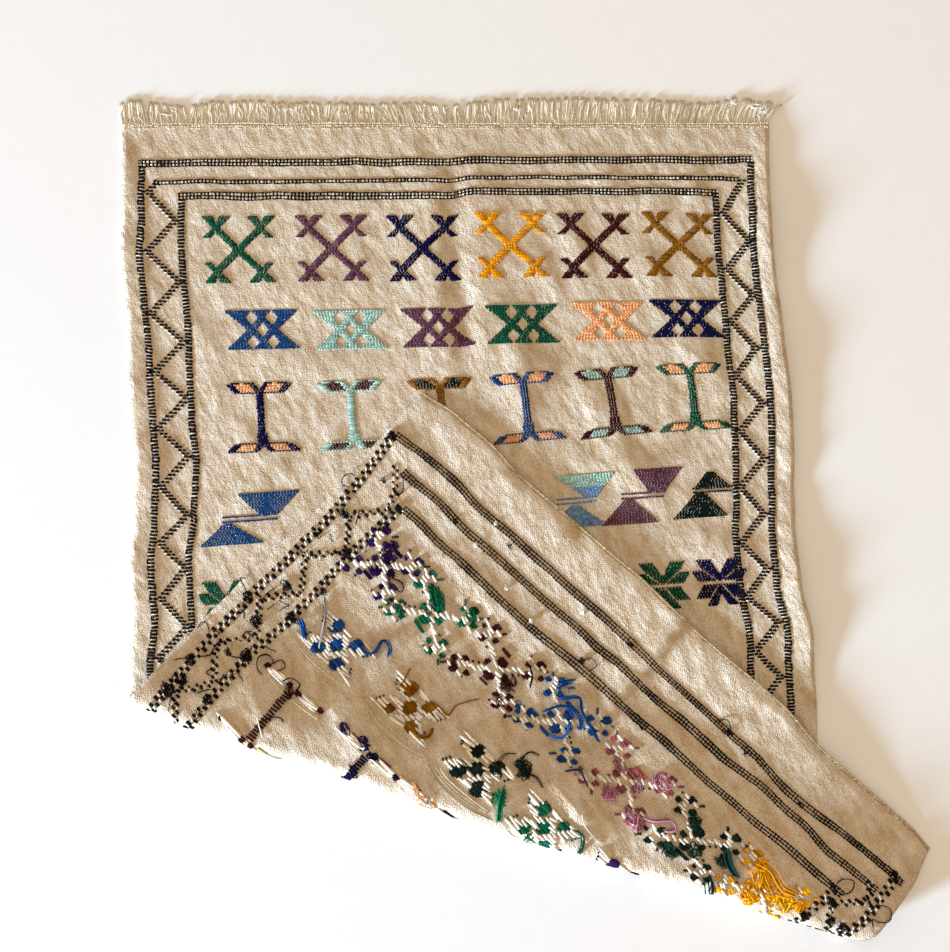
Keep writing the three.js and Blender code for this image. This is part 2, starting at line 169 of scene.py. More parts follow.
def wrinkles(table, x, y):
    rise = 0.0
    for middle_x, middle_y, heading, reach, spread, height in table:
        cos, sin = math.cos(math.radians(heading)), math.sin(math.radians(heading))
        dx, dy = x - middle_x, y - middle_y
        along = ease(1 - np.abs(dx * cos + dy * sin) / reach)
        rise = rise + height * along * ease(1 - np.abs(dy * cos - dx * sin) / spread)
    return rise


def floor_rise(u, v, x, y):
    curl = read(SELVEDGE_CURL, v, 1) * ease(1 - u / CURL_REACH)
    curl = curl + read(SELVEDGE_CURL, v, 2) * ease(1 - (CLOTH_WIDTH - u) / CURL_REACH)
    groove = read(GROOVE_PROFILE, u - GROOVE_U) * ease(v / GROOVE_FADE)
    groove = groove * ease(1 - (v - GROOVE_END) / GROOVE_FADE)
    turned_up = read(EDGE_TURN, v) * ease(1 - (CLOTH_WIDTH - 10 - u) / EDGE_REACH)
    rise = curl + turned_up + groove + wrinkles(FLOOR_WRINKLES, x, y) + wrinkles(SMALL_WRINKLES, x, y)
    # A soft stop at the floor.
    return 0.5 * (rise + FLOOR_GAP + np.hypot(rise + FLOOR_GAP, FLOOR_SOFTNESS))


def flap_rise(u, v, x, y, back):
    settled = LAYER_RISE + wrinkles(FLOOR_WRINKLES, x, y)
    sagging = settled + (2 * ROLL_RADIUS - settled) * ease(1 - back / SAG_RUN)
    from_hem = CLOTH_LENGTH - v
    lift = read(HEM_LIFT, u) * ease(1 - from_hem / HEM_RUN)
    corner = ease(1 - np.hypot(CLOTH_WIDTH - u, from_hem) / DROOP_REACH)
    ridge = RIDGE_RISE * ease(1 - np.abs(u - GROOVE_U) / np.where(u < GROOVE_U, RIDGE_SPREAD, RIDGE_DROP))
    ridge = ridge * ease((v - RIDGE_START) / GROOVE_FADE)
    ridges = wrinkles(FLAP_WRINKLES, x, y) + wrinkles(SMALL_WRINKLES, x + 40, y) + ridge
    ridges = ridges * ease(back / (SAG_RUN / 2)) + wrinkles(FLAP_PUFFS, x, y) * ease(back / (SAG_RUN / 5))
    droop = DROOP_DEPTH * corner + HEM_DROOP * ease(1 - from_hem / EDGE_REACH)
    return sagging + lift + ridges - droop - EDGE_DROOP * ease(1 - u / EDGE_REACH) * ease(back / SAG_RUN)


def lie(u, v):
    """The middle of the cloth's thickness at u, v as it lies, in metres."""
    u, v = np.broadcast_arrays(np.asarray(u, float), np.asarray(v, float))
    along, past = from_crease(u, v)
    turn = np.clip(past, 0, ROLL_LENGTH) / ROLL_RADIUS
    out = np.where(past > 0, ROLL_RADIUS * np.sin(turn), past)
    out = np.where(past > ROLL_LENGTH, ROLL_LENGTH - past, out)
    bulge_share = ease(1 - np.abs(past - ROLL_LENGTH / 2) / BULGE_REACH)
    out = out + read(CREASE_BULGE, along) * bulge_share
    x = CREASE_THROUGH[0] + along * CREASE_ALONG[0] + out * CREASE_OUT[0]
    y = CREASE_THROUGH[1] + along * CREASE_ALONG[1] + out * CREASE_OUT[1]
    on_floor = floor_rise(u, v, x, y) * ease(-past / ROLL_LENGTH)
    rise = np.where(past <= 0, on_floor, ROLL_RADIUS * (1 - np.cos(turn)))
    rise = np.where(past > ROLL_LENGTH, flap_rise(u, v, x, y, past - ROLL_LENGTH), rise)
    x, y = x + FOOTPRINT_SHIFT[0], y + FOOTPRINT_SHIFT[1]
    return np.stack([x, y, CLOTH_THICKNESS / 2 + rise], -1) / 1000.0


def face_direction(u, v, step=3.0):
    along_weft = lie(u + step, v) - lie(u - step, v)
    along_warp = lie(u, v + step) - lie(u, v - step)
    normal = np.cross(along_warp, along_weft)
    return normal / np.linalg.norm(normal, axis=-1, keepdims=True)


FACE, BACK = 1.0, -1.0


def on_cloth(u, v, height, side):
    """A place at a height in mm over the face or the back of the cloth."""
    away = side * (CLOTH_THICKNESS / 2 + np.asarray(height, float)) / 1000.0
    return lie(u, v) + face_direction(u, v) * away[..., None]


# The rows of its mesh fan out from the fringed end to the crease, and in again to the hem.
COLUMNS, LOWER_ROWS, ROLL_ROWS, FLAP_ROWS = 150, 126, 26, 70
ROLL_MARGIN = 12.0


def find_place(u, wanted):
    low, high = np.zeros_like(u), np.full_like(u, CLOTH_LENGTH)
    for _ in range(40):
        middle = (low + high) / 2
        before = from_crease(u, middle)[1] < wanted
        low, high = np.where(before, middle, low), np.where(before, high, middle)
    return (low + high) / 2


def row_place(u, row):
    start = find_place(u, -ROLL_MARGIN)
    end = find_place(u, ROLL_LENGTH + ROLL_MARGIN)
    roll_row, flap_row = row - LOWER_ROWS, row - LOWER_ROWS - ROLL_ROWS
    past = -ROLL_MARGIN + (ROLL_LENGTH + 2 * ROLL_MARGIN) * np.clip(roll_row / ROLL_ROWS, 0, 1)
    v = np.where(roll_row < 0, start * (row / LOWER_ROWS), find_place(u, past))
    return np.where(flap_row > 0, end + (CLOTH_LENGTH - end) * (flap_row / FLAP_ROWS), v)


def finish_mesh(name, bm):
    mesh = bpy.data.meshes.new(name)
    bm.to_mesh(mesh)
    bm.free()
    mesh.polygons.foreach_set("use_smooth", [True] * len(mesh.polygons))
    piece = bpy.data.objects.new(name, mesh)
    bpy.context.scene.collection.objects.link(piece)
    return piece


rows = LOWER_ROWS + ROLL_ROWS + FLAP_ROWS
bm = bmesh.new()
bm.loops.layers.uv.new("woven_mm")
bmesh.ops.create_grid(bm, x_segments=COLUMNS, y_segments=rows, size=0.5, calc_uvs=True)
flat = np.array([vert.co for vert in bm.verts])
u = (flat[:, 0] + 0.5) * CLOTH_WIDTH
v = row_place(u, (0.5 - flat[:, 1]) * rows)
for vert, place, u_here, v_here in zip(bm.verts, lie(u, v), u, v):
    vert.co = place
    for loop in vert.link_loops:
        loop[bm.loops.layers.uv.active].uv = (u_here, v_here)
cloth = finish_mesh("kilim_weave", bm)
thickness = cloth.modifiers.new("thickness", "SOLIDIFY")
thickness.thickness = CLOTH_THICKNESS / 1000.0
thickness.offset = 0.0

def linear(hex_colour):
    parts = [int(hex_colour[i:i + 2], 16) / 255.0 for i in (1, 3, 5)]
    return tuple(c / 12.92 if c <= 0.04045 else ((c + 0.055) / 1.055) ** 2.4 for c in parts) + (1.0,)


def add_node(material, kind, inputs=None, output=0, **settings):
    """Adds a node, fills or links its inputs, and gives the output to link from."""
    node = material.node_tree.nodes.new("ShaderNode" + kind)
    for name, value in settings.items():
        setattr(node, name, value)
    for name, value in (inputs or {}).items():
        if isinstance(value, bpy.types.NodeSocket):
            material.node_tree.links.new(value, node.inputs[name])
        else:
            node.inputs[name].default_value = value
    return node.outputs[output]


def new_material(name, roughness, specular):
    material = bpy.data.materials.new(name)
    material.use_nodes = True
    shader = material.node_tree.nodes["Principled BSDF"]
    shader.inputs["Roughness"].default_value = roughness
    shader.inputs["Specular IOR Level"].default_value = specular
    return material, shader


# Handspun wool in plain weave: matt, with a fuzzy bloom, and thick and thin yarns that catch the
# light one by one. Its colour follows the same noises as the bumps: oat in the hollows is painted
# shade and cream on the yarn tops is painted highlight, over some random tone from the slubs.
# The yarns are drawn a little coarser than they are spun, so that they still show from above.
WARP_YARN, WEFT_YARN = 1.9, 1.8
OAT_PAINTED_SHADE, CREAM_PAINTED_HIGHLIGHT = "#b9986a", "#f3e8d6"
handspun, shader = new_material("handspun wool plain weave", 0.9, 0.15)
woven = add_node(handspun, "UVMap", uv_map="woven_mm")
threads = woven
for scale, detail, reach in ((0.05, 2.0, 9.0), (0.3, 1.0, 1.8)):
    stray = add_node(handspun, "TexNoise", {"Vector": woven, "Scale": scale, "Detail": detail}, "Color")
    stray = add_node(handspun, "VectorMath", {0: stray, 1: (reach, reach, 0.0)}, operation="MULTIPLY")
    threads = add_node(handspun, "VectorMath", {0: threads, 1: stray}, operation="ADD")
parts = add_node(handspun, "SeparateXYZ", {"Vector": threads}).node.outputs
waves = []
for part, yarn in ((parts["X"], WARP_YARN), (parts["Y"], WEFT_YARN)):
    wave = add_node(handspun, "Math", {0: part, 1: math.pi / yarn}, operation="MULTIPLY")
    waves.append(add_node(handspun, "Math", {0: wave}, operation="SINE"))
crossing = add_node(handspun, "Math", {0: waves[0], 1: waves[1]}, operation="MULTIPLY")
slubs = []
for scale in ((0.09, 0.5, 1.0), (0.5, 0.1, 1.0)):
    slub = add_node(handspun, "Mapping", {"Vector": threads, "Scale": scale})
    slubs.append(add_node(handspun, "TexNoise", {"Vector": slub, "Scale": 1.0, "Detail": 2.0}))
slubs = add_node(handspun, "Math", {0: slubs[0], 1: slubs[1]}, operation="ADD")
fuzz = add_node(handspun, "TexNoise", {"Vector": woven, "Scale": 0.42, "Detail": 3.0, "Roughness": 0.6})
pucker = add_node(handspun, "TexNoise", {"Vector": woven, "Scale": 0.055, "Detail": 2.0})
# Creasing left by drying runs one way across both layers, in streaks about 35 by 17 mm. The
# streaks also go into the colour, as painted patches of light and shade.
streaks = add_node(handspun, "TexCoord", output="Object")
streaks = add_node(handspun, "Mapping", {"Vector": streaks, "Rotation": (0.0, 0.0, math.radians(60))})
streaks = add_node(handspun, "Mapping", {"Vector": streaks, "Scale": (28.0, 58.0, 1.0)})
streaks = add_node(handspun, "TexNoise", {"Vector": streaks, "Scale": 1.0, "Detail": 2.0})
height, painted_light_tone = slubs, fuzz
for part, weight in ((crossing, 0.22), (fuzz, 1.0), (pucker, 3.0), (streaks, 4.5)):
    height = add_node(handspun, "Math", {0: part, 1: weight, 2: height}, operation="MULTIPLY_ADD")
# The colour rises and falls with the bumps: painted shade in the low places, painted highlight on the high ones, and
# the streaks as painted patches of light and shade.
for part, weight in ((slubs, 0.25), (crossing, 0.06), (streaks, 0.9)):
    painted_light_tone = add_node(handspun, "Math", {0: part, 1: weight, 2: painted_light_tone}, operation="MULTIPLY_ADD")
bump = add_node(handspun, "Bump", {"Height": height, "Strength": 1.0, "Distance": 0.0015})
painted_light_tone = add_node(handspun, "MapRange", {"Value": painted_light_tone, "From Min": 0.85, "From Max": 1.55})
ramp = add_node(handspun, "ValToRGB", {"Fac": painted_light_tone})
for stop, colour in zip(ramp.node.color_ramp.elements, (OAT_PAINTED_SHADE, CREAM_PAINTED_HIGHLIGHT)):
    stop.color = linear(colour)
handspun.node_tree.links.new(ramp, shader.inputs["Base Color"])
handspun.node_tree.links.new(bump, shader.inputs["Normal"])
shader.inputs["Sheen Weight"].default_value = 0.1
shader.inputs["Sheen Roughness"].default_value = 0.5
cloth.data.materials.append(handspun)

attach(cloth, "root")
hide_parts("kilim_cloth")

# The borders on the face are brocaded with black wool: three lines of ticks across the fringed
# end, and down each side two stacks of short bars with a zigzag between them. Each tick is one
# float of yarn that goes over one or two warps and dips back through the cloth at both ends.
TICK_PITCH, TICK_LENGTH, TICK_WIDTH, LINE_PITCH = 5.6, 5.0, 1.9, 4.9
BAR_PITCH, BAR_LENGTH, BAR_WIDTH = 5.1, 11.5, 3.8
BLACK_WOOL, CREAM = "#171211", "#efe6d6"
# v of a line across, its rows of ticks, and the u that it runs from and to.
TOP_LINES = [(61.0, 3, 25, 976), (90.0, 2, 50, 952), (113.0, 3, 88, 922)]
# v of a stack's top and foot, and u of its middle there.
SIDE_STACKS = [(68, 915, 29, 30), (118, 840, 92, 85), (66, 990, 972, 962), (114, 900, 918, 907)]
# u and v of each corner.
LEFT_ZIGZAG = [
    (51, 93), (39, 105), (82, 149), (39, 196), (85, 243), (36, 290), (83, 334), (38, 377), (83, 419),
    (37, 462), (78, 505), (37, 548), (78, 592), (40, 630), (80, 669), (41, 712), (79, 754), (41, 796),
    (80, 838), (40, 880),
]
RIGHT_ZIGZAG = [
    (958, 93), (928, 145), (966, 191), (928, 237), (961, 280), (922, 322), (957, 366), (921, 409),
    (956, 454), (920, 498), (955, 542), (919, 586), (954, 630), (918, 674), (953, 716), (918, 758),
    (953, 800), (917, 843), (952, 886), (917, 928),
]
# A yarn has four flat sides, and fills a little less than the room it takes. What is sewn at the
# back shows only past the crease, from this far on.
YARN_SIDES, YARN_FILL, BACK_SHOWN = 4, 0.9, 12.0


def yarn_shape(stations):
    """A closed yarn: the station of each corner, its angle round the yarn, and its faces."""
    bm = bmesh.new()
    bmesh.ops.create_uvsphere(bm, u_segments=YARN_SIDES, v_segments=stations - 1, radius=1.0)
    corners = np.array([vert.co for vert in bm.verts])
    faces = [[vert.index for vert in face.verts] for face in bm.faces]
    bm.free()
    levels = np.unique(np.round(corners[:, 2], 5))
    station = np.searchsorted(levels, np.round(corners[:, 2], 5))
    angle = np.arctan2(corners[:, 1], corners[:, 0]) + math.pi / YARN_SIDES
    return station, angle, np.abs(corners[:, 2]) < 0.9999, faces


def lay_yarns(name, paths, half_widths, half_heights, dyes, side):
    """One piece of many yarns. Each path is a row of places: u, v, height over the cloth."""
    paths, half_widths, half_heights = (np.asarray(part, float) for part in (paths, half_widths, half_heights))
    shown = (from_crease(paths[..., 0], paths[..., 1])[1].min(1) > BACK_SHOWN) | (side == FACE)
    paths, half_widths, half_heights = paths[shown], half_widths[shown], half_heights[shown]
    dyes = [dye for dye, keep in zip(dyes, shown) if keep]
    count = len(paths)
    station, angle, full, faces = yarn_shape(paths.shape[1])
    middle = on_cloth(paths[..., 0], paths[..., 1], paths[..., 2], side)
    along = np.gradient(middle, axis=1)
    across = np.cross(face_direction(paths[..., 0], paths[..., 1]) * side, along)
    across /= np.linalg.norm(across, axis=-1, keepdims=True)
    above = np.cross(along, across)
    above /= np.linalg.norm(above, axis=-1, keepdims=True)
    round_out = 1.0 / math.cos(math.pi / YARN_SIDES) * full / 1000.0
    reach = half_widths[:, None] * np.cos(angle) * round_out * YARN_FILL
    rise = half_heights[:, None] * np.sin(angle) * round_out * YARN_FILL
    places = middle[:, station] + across[:, station] * reach[..., None] + above[:, station] * rise[..., None]
    steps = np.arange(count) * len(station)
    corner_ids = np.concatenate([(np.array(face)[None, :] + steps[:, None]).ravel() for face in faces])
    sizes = np.concatenate([np.full(count, len(face)) for face in faces])
    mesh = bpy.data.meshes.new(name)
    mesh.vertices.add(count * len(station))
    mesh.vertices.foreach_set("co", places.ravel())
    mesh.loops.add(len(corner_ids))
    mesh.loops.foreach_set("vertex_index", corner_ids)
    mesh.polygons.add(len(sizes))
    mesh.polygons.foreach_set("loop_start", np.concatenate([[0], np.cumsum(sizes)[:-1]]))
    mesh.polygons.foreach_set("use_smooth", np.ones(len(sizes), bool))
    mesh.update(calc_edges=True)
    uv = paths[:, station, :2].reshape(-1, 2)[corner_ids]
    mesh.uv_layers.new(name="woven_mm").data.foreach_set("uv", uv.ravel())
    dye = mesh.color_attributes.new("dye", "FLOAT_COLOR", "POINT")
    dye.data.foreach_set("color", np.repeat([linear(colour) for colour in dyes], len(station), 0).ravel())
    mesh.validate()
    piece = bpy.data.objects.new(name, mesh)
    bpy.context.scene.collection.objects.link(piece)
    mesh.materials.append(dyed_wool)
    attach(piece, "root")
    return piece


def lay_floats(name, floats, side, lift=0.25, blunt=0.84):
    """One piece of straight floats, as add_float lists them."""
    table = np.array([row[:6] for row in floats], float)
    u, v, length, turn = (table[:, i][:, None] for i in (0, 1, 2, 5))
    stations = np.array([-1.0, -blunt, blunt, 1.0])
    heights = np.where(np.abs(stations) > 0.99, -0.6, lift) + 0.0 * u
    paths = np.stack([u + stations * length * np.cos(turn), v + stations * length * np.sin(turn), heights], -1)
    lay_yarns(name, paths, table[:, 3], table[:, 4], [row[6] for row in floats], side)


def shade(hex_colour, spread=0.12):
    """The same dye a little lighter or darker, as a hand-dyed yarn takes it."""
    factor = 1.0 + chance.normal(0, spread)
    parts = [min(255, max(4, int(int(hex_colour[i:i + 2], 16) * factor + chance.normal(0, 2)))) for i in (1, 3, 5)]
    return "#%02x%02x%02x" % tuple(parts)


def add_float(floats, u, v, half_length, half_width, half_height, turn, colour, spread=0.12):
    floats.append((u, v, half_length, half_width, half_height, turn, shade(colour, spread)))


def vary(along, step, values):
    """A smooth-running change along a line, from values that lie a step apart."""
    return np.interp(along, np.arange(len(values)) * step, values)


# Dyed wool yarn: soft singles with next to no sheen, mottled along the yarn where the dye took
# unevenly, with fine fibres that break up the light.
dyed_wool, shader = new_material("dyed wool brocading yarn", 0.9, 0.08)
woven = add_node(dyed_wool, "UVMap", uv_map="woven_mm")
mottle = add_node(dyed_wool, "TexNoise", {"Vector": woven, "Scale": 0.5, "Detail": 3.0})
MOTTLE_RANGE = {"From Min": 0.3, "From Max": 0.7, "To Min": 0.75, "To Max": 1.2}
mottle = add_node(dyed_wool, "MapRange", {"Value": mottle, **MOTTLE_RANGE})
dye = add_node(dyed_wool, "Attribute", attribute_name="dye")
colour = add_node(dyed_wool, "VectorMath", {0: dye, 1: mottle}, operation="MULTIPLY")
fibres = add_node(dyed_wool, "Mapping", {"Vector": woven, "Scale": (1.1, 2.6, 1.0)})
fibres = add_node(dyed_wool, "TexNoise", {"Vector": fibres, "Scale": 1.0, "Detail": 3.0})
bump = add_node(dyed_wool, "Bump", {"Height": fibres, "Strength": 0.5, "Distance": 0.0006})
dyed_wool.node_tree.links.new(colour, shader.inputs["Base Color"])
dyed_wool.node_tree.links.new(bump, shader.inputs["Normal"])

FLOAT_HEIGHT, INLAY_HEIGHT, QUARTER = 0.8, 0.45, math.pi / 2
chance = np.random.default_rng(11)
black = []
for line_v, line_rows, start, end in TOP_LINES:
    ticks = np.arange(start, end, TICK_PITCH)
    wander = vary(ticks, 40, chance.normal(0, 0.9, 27))
    spacing = vary(ticks, 60, chance.normal(0, 0.35, 18))
    heavy = vary(ticks, 15, chance.random(71) ** 5)
    for tick, drift_here, spread, weight in zip(ticks, wander, spacing, heavy):
        for row in range(line_rows):
            row_v = line_v + drift_here + (row - (line_rows - 1) / 2) * (LINE_PITCH + spread)
            length = TICK_LENGTH * chance.uniform(0.85, 1.2)
            add_float(
                black, tick + chance.normal(0, 0.25), row_v + chance.normal(0, 0.2), length / 2,
                TICK_WIDTH / 2 * chance.uniform(0.85, 1.15) * (1 + 0.6 * weight), FLOAT_HEIGHT,
                chance.normal(0, 0.06), BLACK_WOOL,
            )
            if row and chance.random() < 0.7 + weight:
                add_float(
                    black, tick + chance.normal(0, 0.5), row_v - LINE_PITCH / 2, 2.5,
                    chance.uniform(0.8, 1.3) * (1 + 0.5 * weight), FLOAT_HEIGHT,
                    QUARTER + chance.normal(0, 0.1), BLACK_WOOL,
                )
            if row and chance.random() < 0.85:
                add_float(
                    black, tick + TICK_PITCH / 2, row_v - LINE_PITCH / 2, 1.7, 1.25, 0.6,
                    chance.normal(0, 0.2), CREAM, 0.06,
                )


def stack_bar(u, v, length, turn):
    """One bar of a stack, at times in two halves, with a thin cream float under it."""
    if chance.random() < 0.25:
        half = length / 2 - 0.3
        for sign in (-1, 1):
            half_u, half_v = u + sign * (half / 2 + 0.3), v + sign * half / 2 * math.sin(turn)
            add_float(black, half_u, half_v, half / 2, BAR_WIDTH / 2, FLOAT_HEIGHT, turn, BLACK_WOOL)
    else:
        add_float(black, u, v, length / 2, BAR_WIDTH / 2 * chance.uniform(0.85, 1.15), FLOAT_HEIGHT, turn, BLACK_WOOL)
    for end in (-1, 1):
        if chance.random() < 0.14:
            end_u = u + end * (length / 2 - 1.2)
            add_float(black, end_u, v + BAR_PITCH / 2, 2.4, 1.2, FLOAT_HEIGHT, QUARTER, BLACK_WOOL)
    add_float(black, u, v + BAR_PITCH / 2, length / 2 - 1.5, 0.8, INLAY_HEIGHT, turn, CREAM, 0.08)


for top, foot, top_u, foot_u in SIDE_STACKS:
    bars = np.arange(top, foot, BAR_PITCH)
    middle = np.interp(bars, (top, foot), (top_u, foot_u)) + vary(bars, 50, chance.normal(0, 0.9, 21))
    tilt = vary(bars, 35, chance.normal(0, 0.12, 29))
    for bar_v, bar_u, turn in zip(bars, middle, tilt):
        stack_bar(
            bar_u + chance.normal(0, 0.3), bar_v + chance.normal(0, 0.3), BAR_LENGTH * chance.uniform(0.9, 1.08),
            turn + chance.normal(0, 0.05),
        )

for zigzag in (LEFT_ZIGZAG, RIGHT_ZIGZAG):
    corners = np.array(zigzag, float)
    bars = np.arange(corners[0, 1], corners[-1, 1], BAR_PITCH)
    middle = np.interp(bars, corners[:, 1], corners[:, 0])
    for bar_v, bar_u in zip(bars, middle):
        lean = chance.normal(0.06, 0.06)
        for sign in (-1, 1):
            add_float(
                black, bar_u + sign * 3.1 + chance.normal(0, 0.3), bar_v + sign * 0.35 + chance.normal(0, 0.25),
                chance.uniform(2.5, 3.2), BAR_WIDTH / 2 * chance.uniform(0.85, 1.1), FLOAT_HEIGHT, lean, BLACK_WOOL,
            )
            add_float(black, bar_u + sign * 3.0, bar_v + BAR_PITCH / 2, 2.4, 0.75, INLAY_HEIGHT, lean, CREAM, 0.08)
    for corner_u, corner_v in zigzag[1:-1]:
        outward = -1 if corner_u < np.mean(corners[:, 0]) else 1
        add_float(black, corner_u + outward * 6.5, corner_v, 3.2, 1.5, 0.7, 0.0, BLACK_WOOL)
lay_floats("face_border", black, FACE)

# The figures on the face are brocaded row by row: coloured floats lie packed side by side over
# the ground weave, and here and there one undyed warp ties a float down as a pale dot.
ROW_PITCH, FLOAT_PITCH, FINE_STEP, TIE_COLOUR = 2.4, 4.6, 0.5, "#b9aa93"
GREEN, PURPLE, NAVY, GOLD, MAROON, OCHRE = "#0c4530", "#593344", "#0a0930", "#d98a06", "#390f12", "#7f510e"
BLUE, AQUA, PEACH, PALE_BLUE, BOTTLE = "#143a66", "#93b3a3", "#e79d68", "#6488b2", "#09160f"


def brocade(figure, middle_u, middle_v, half_width, half_height, colours, tied, turn=0.0):
    """Floats for a figure that gives, at x and y from its middle, 0 or the number of a colour.

    turn is how far the weft slants up to the right there, in radians.
    """
    floats = []
    x = np.arange(-half_width, half_width + 0.01, FINE_STEP)
    loose = vary(x + 90, 15, chance.random(13)) * 2 * tied
    for number, row_y in enumerate(np.arange(-half_height, half_height + 0.01, ROW_PITCH)):
        jag = 1.2 * (number % 2)
        above, label, below = (figure(x, np.full_like(x, row_y + step)) for step in (-ROW_PITCH, 0, ROW_PITCH))
        rim = (above != label) | (below != label)
        edges = np.flatnonzero(np.diff(np.concatenate([[0], label, [0]])))
        for start, end in zip(edges[:-1], edges[1:]):
            if label[start] == 0 or end - start < 3:
                continue
            left, right = x[start] - 0.5 - jag + chance.normal(0, 0.4), x[end - 1] + 0.5 + jag + chance.normal(0, 0.4)
            cells = 1 if right - left < 17 else round((right - left) / FLOAT_PITCH)
            step = (right - left) / cells
            for cell in range(cells):
                at = left + (cell + 0.5) * step
                place = min(len(x) - 1, max(0, int((at + half_width) / FINE_STEP)))
                length = step - (1.5 if rim[place] and cells > 2 else -0.8)
                row_here = row_y + chance.normal(0, 0.12)
                add_float(
                    floats, middle_u + at + turn * row_here, middle_v + row_here - turn * at, max(length, 1.8) / 2,
                    ROW_PITCH / 2 * 1.2, 0.7, chance.normal(0, 0.02) - turn, colours[label[start] - 1], 0.09,
                )
                ties = [left + cell * step] if cells > 1 else [left + share * step for share in (0.33, 0.67)]
                for tie in ties:
                    if (cell or cells == 1) and chance.random() < loose[place]:
                        add_float(
                            floats, middle_u + tie + turn * row_y, middle_v + row_y - turn * tie, 1.0,
                            chance.uniform(0.22, 0.34), 0.85, QUARTER + chance.normal(0, 0.3), TIE_COLOUR, 0.1,
                        )
    return floats


def cross_figure(x, y):
    """A large cross with a small one, flared like a flag, on each of its four ends."""
    big = (np.abs(np.abs(x) - np.abs(y) * 1.03) < 6.9) & (np.abs(y) < 34)
    near_x, near_y = np.abs(np.abs(x) - 34.5), np.abs(y) - 33.5
    flag = (near_y > 0) & (near_y < 17.6) & (near_x < 4.5 + near_y * 0.97) & (near_x > (near_y - 6.5) * 0.45)
    tail = (near_y <= 0) & (near_y > -14) & (near_x < 4.5 - near_y * 1.05) & (near_x > (-near_y - 3) * 0.75)
    return np.where(big | flag | tail, 1, 0)


# u and v of each figure's middle, and its colour.
CROSS_ROW = [
    (179, 195, GREEN), (322, 195, PURPLE), (463, 196, NAVY), (598, 198, GOLD), (726, 201, MAROON), (856, 199, OCHRE),
]
chance = np.random.default_rng(21)
floats = []
for middle_u, middle_v, colour in CROSS_ROW:
    floats += brocade(cross_figure, middle_u, middle_v, 58, 51, [colour], tied=0.4)
lay_floats("cross_row", floats, FACE)


def lattice_figure(x, y):
    """Two crosses side by side, whose ends flare until they nearly meet."""
    outer = np.abs(x) < 23 + 32.5 * np.abs(y) / 29
    hole = np.abs(x) / 9.6 + np.abs(y) / 12.4 < 1
    side_hole = np.abs(np.abs(x) - 15.4) / 10.6 + np.abs(np.abs(y) - 18.6) / 12.0 < 1
    return np.where(outer & ~hole & ~side_hole, 1, 0)


LATTICE_ROW = [
    (205, 318, BLUE), (340, 321, AQUA), (474, 320, PURPLE), (603, 322, GREEN), (735, 320, PEACH), (855, 317, NAVY),
]
chance = np.random.default_rng(22)
floats = []
for middle_u, middle_v, colour in LATTICE_ROW:
    floats += brocade(lattice_figure, middle_u, middle_v, 56, 28.8, [colour], tied=0.2)
lay_floats("lattice_row", floats, FACE)


def pillar_figure(x, y):
    """A stem with a pair of leaves at its top and its foot: 1 is the outline, 2 the filling."""
    out, up = np.abs(x), -y
    stem = (out < np.where(up < -24, 7.2, 4.8)) & (up > -45) & (up < 44)
    top_edge = 51.5 + 2.5 * np.sin(np.clip((out - 8) / 34, 0, 1) * math.pi)
    leaf = (up > 37.0) & (up < top_edge) & (out < 38.5 + (up - 38.5) * 1.0) & (out > 1.5 + (up - 44) * 0.9)
    inside = (up > 39.2) & (up < top_edge - 2.2) & (out < 29 + (up - 38.5) * 0.9) & (out > 6.0 + (up - 38.5) * 0.7)
    low_edge = -39.5 - 3.5 * np.clip((out - 36) / 16, 0, 1)
    foot = (up < low_edge) & (up > -53.5) & (out < 42 + (-38 - up) * 1.0) & (out > (-44 - up) * 1.3)
    filled = (up < low_edge - 2.2) & (up > -51.4) & (out < 31 + (-38 - up) * 0.9) & (out > 8.5 + (-40 - up) * 0.8)
    return np.where(inside | filled, 2, np.where(stem | leaf | foot, 1, 0))


# The middle of each, the colours of its outline and filling, and the slant of the weft there.
PILLAR_ROW = [
    (194, 451, NAVY, PEACH, 0.0), (333, 452, AQUA, MAROON, 0.02), (470, 451, OCHRE, BOTTLE, 0.03),
    (597, 451, BLUE, PEACH, 0.05), (728, 447, MAROON, AQUA, 0.08), (852, 442, GREEN, PEACH, 0.035),
]
chance = np.random.default_rng(23)
floats = []
for middle_u, middle_v, outline, filling, turn in PILLAR_ROW:
    floats += brocade(pillar_figure, middle_u, middle_v, 60, 54, [outline, filling], tied=0.6, turn=turn)
lay_floats("pillar_row", floats, FACE)

# Each hourglass is one triangle on its point over another on its base, with two thin rows of
# dots between them. Bands: v at the top, u of its ends, v at the foot, u of its ends, colour.
HOURGLASS_BANDS = [
    (565, 156, 248, 598, 190, 215, BLUE), (598, 131, 215, 600, 131, 215, BLUE),
    (605, 131, 215, 607, 131, 215, BLUE), (609, 133, 148, 638, 102, 197, BLUE),
    (558, 636, 727, 577, 664, 712, AQUA), (577, 664, 712, 591, 682, 701, PALE_BLUE),
    (593, 640, 701, 595, 640, 701, PALE_BLUE), (600, 640, 698, 602, 640, 698, PALE_BLUE),
    (604, 660, 674, 636, 630, 716, PALE_BLUE),
    (553, 756, 830, 590, 781, 802, PURPLE), (589, 738, 802, 591, 738, 802, PURPLE),
    (596, 738, 802, 598, 738, 802, PURPLE), (598, 743, 755, 634, 709, 793, PURPLE),
    (561, 867, 880, 585, 849, 905, BOTTLE), (585, 846, 908, 587, 845, 906, BOTTLE),
    (591, 846, 906, 593, 848, 904, BOTTLE), (593, 850, 866, 631, 816, 899, BOTTLE),
]
chance = np.random.default_rng(24)
floats = []
for top, left, right, foot, foot_left, foot_right, colour in HOURGLASS_BANDS:
    middle_u, middle_v = (left + foot_right) / 2, (top + foot) / 2

    def band_figure(x, y):
        share = np.clip((y + middle_v - top) / (foot - top), 0, 1)
        low, high = left + (foot_left - left) * share, right + (foot_right - right) * share
        return np.where((x + middle_u > low) & (x + middle_u < high), 1, 0)

    floats += brocade(band_figure, middle_u, middle_v, 80, (foot - top) / 2, [colour], tied=0.6, turn=0.03)
lay_floats("hourglass_row", floats, FACE)


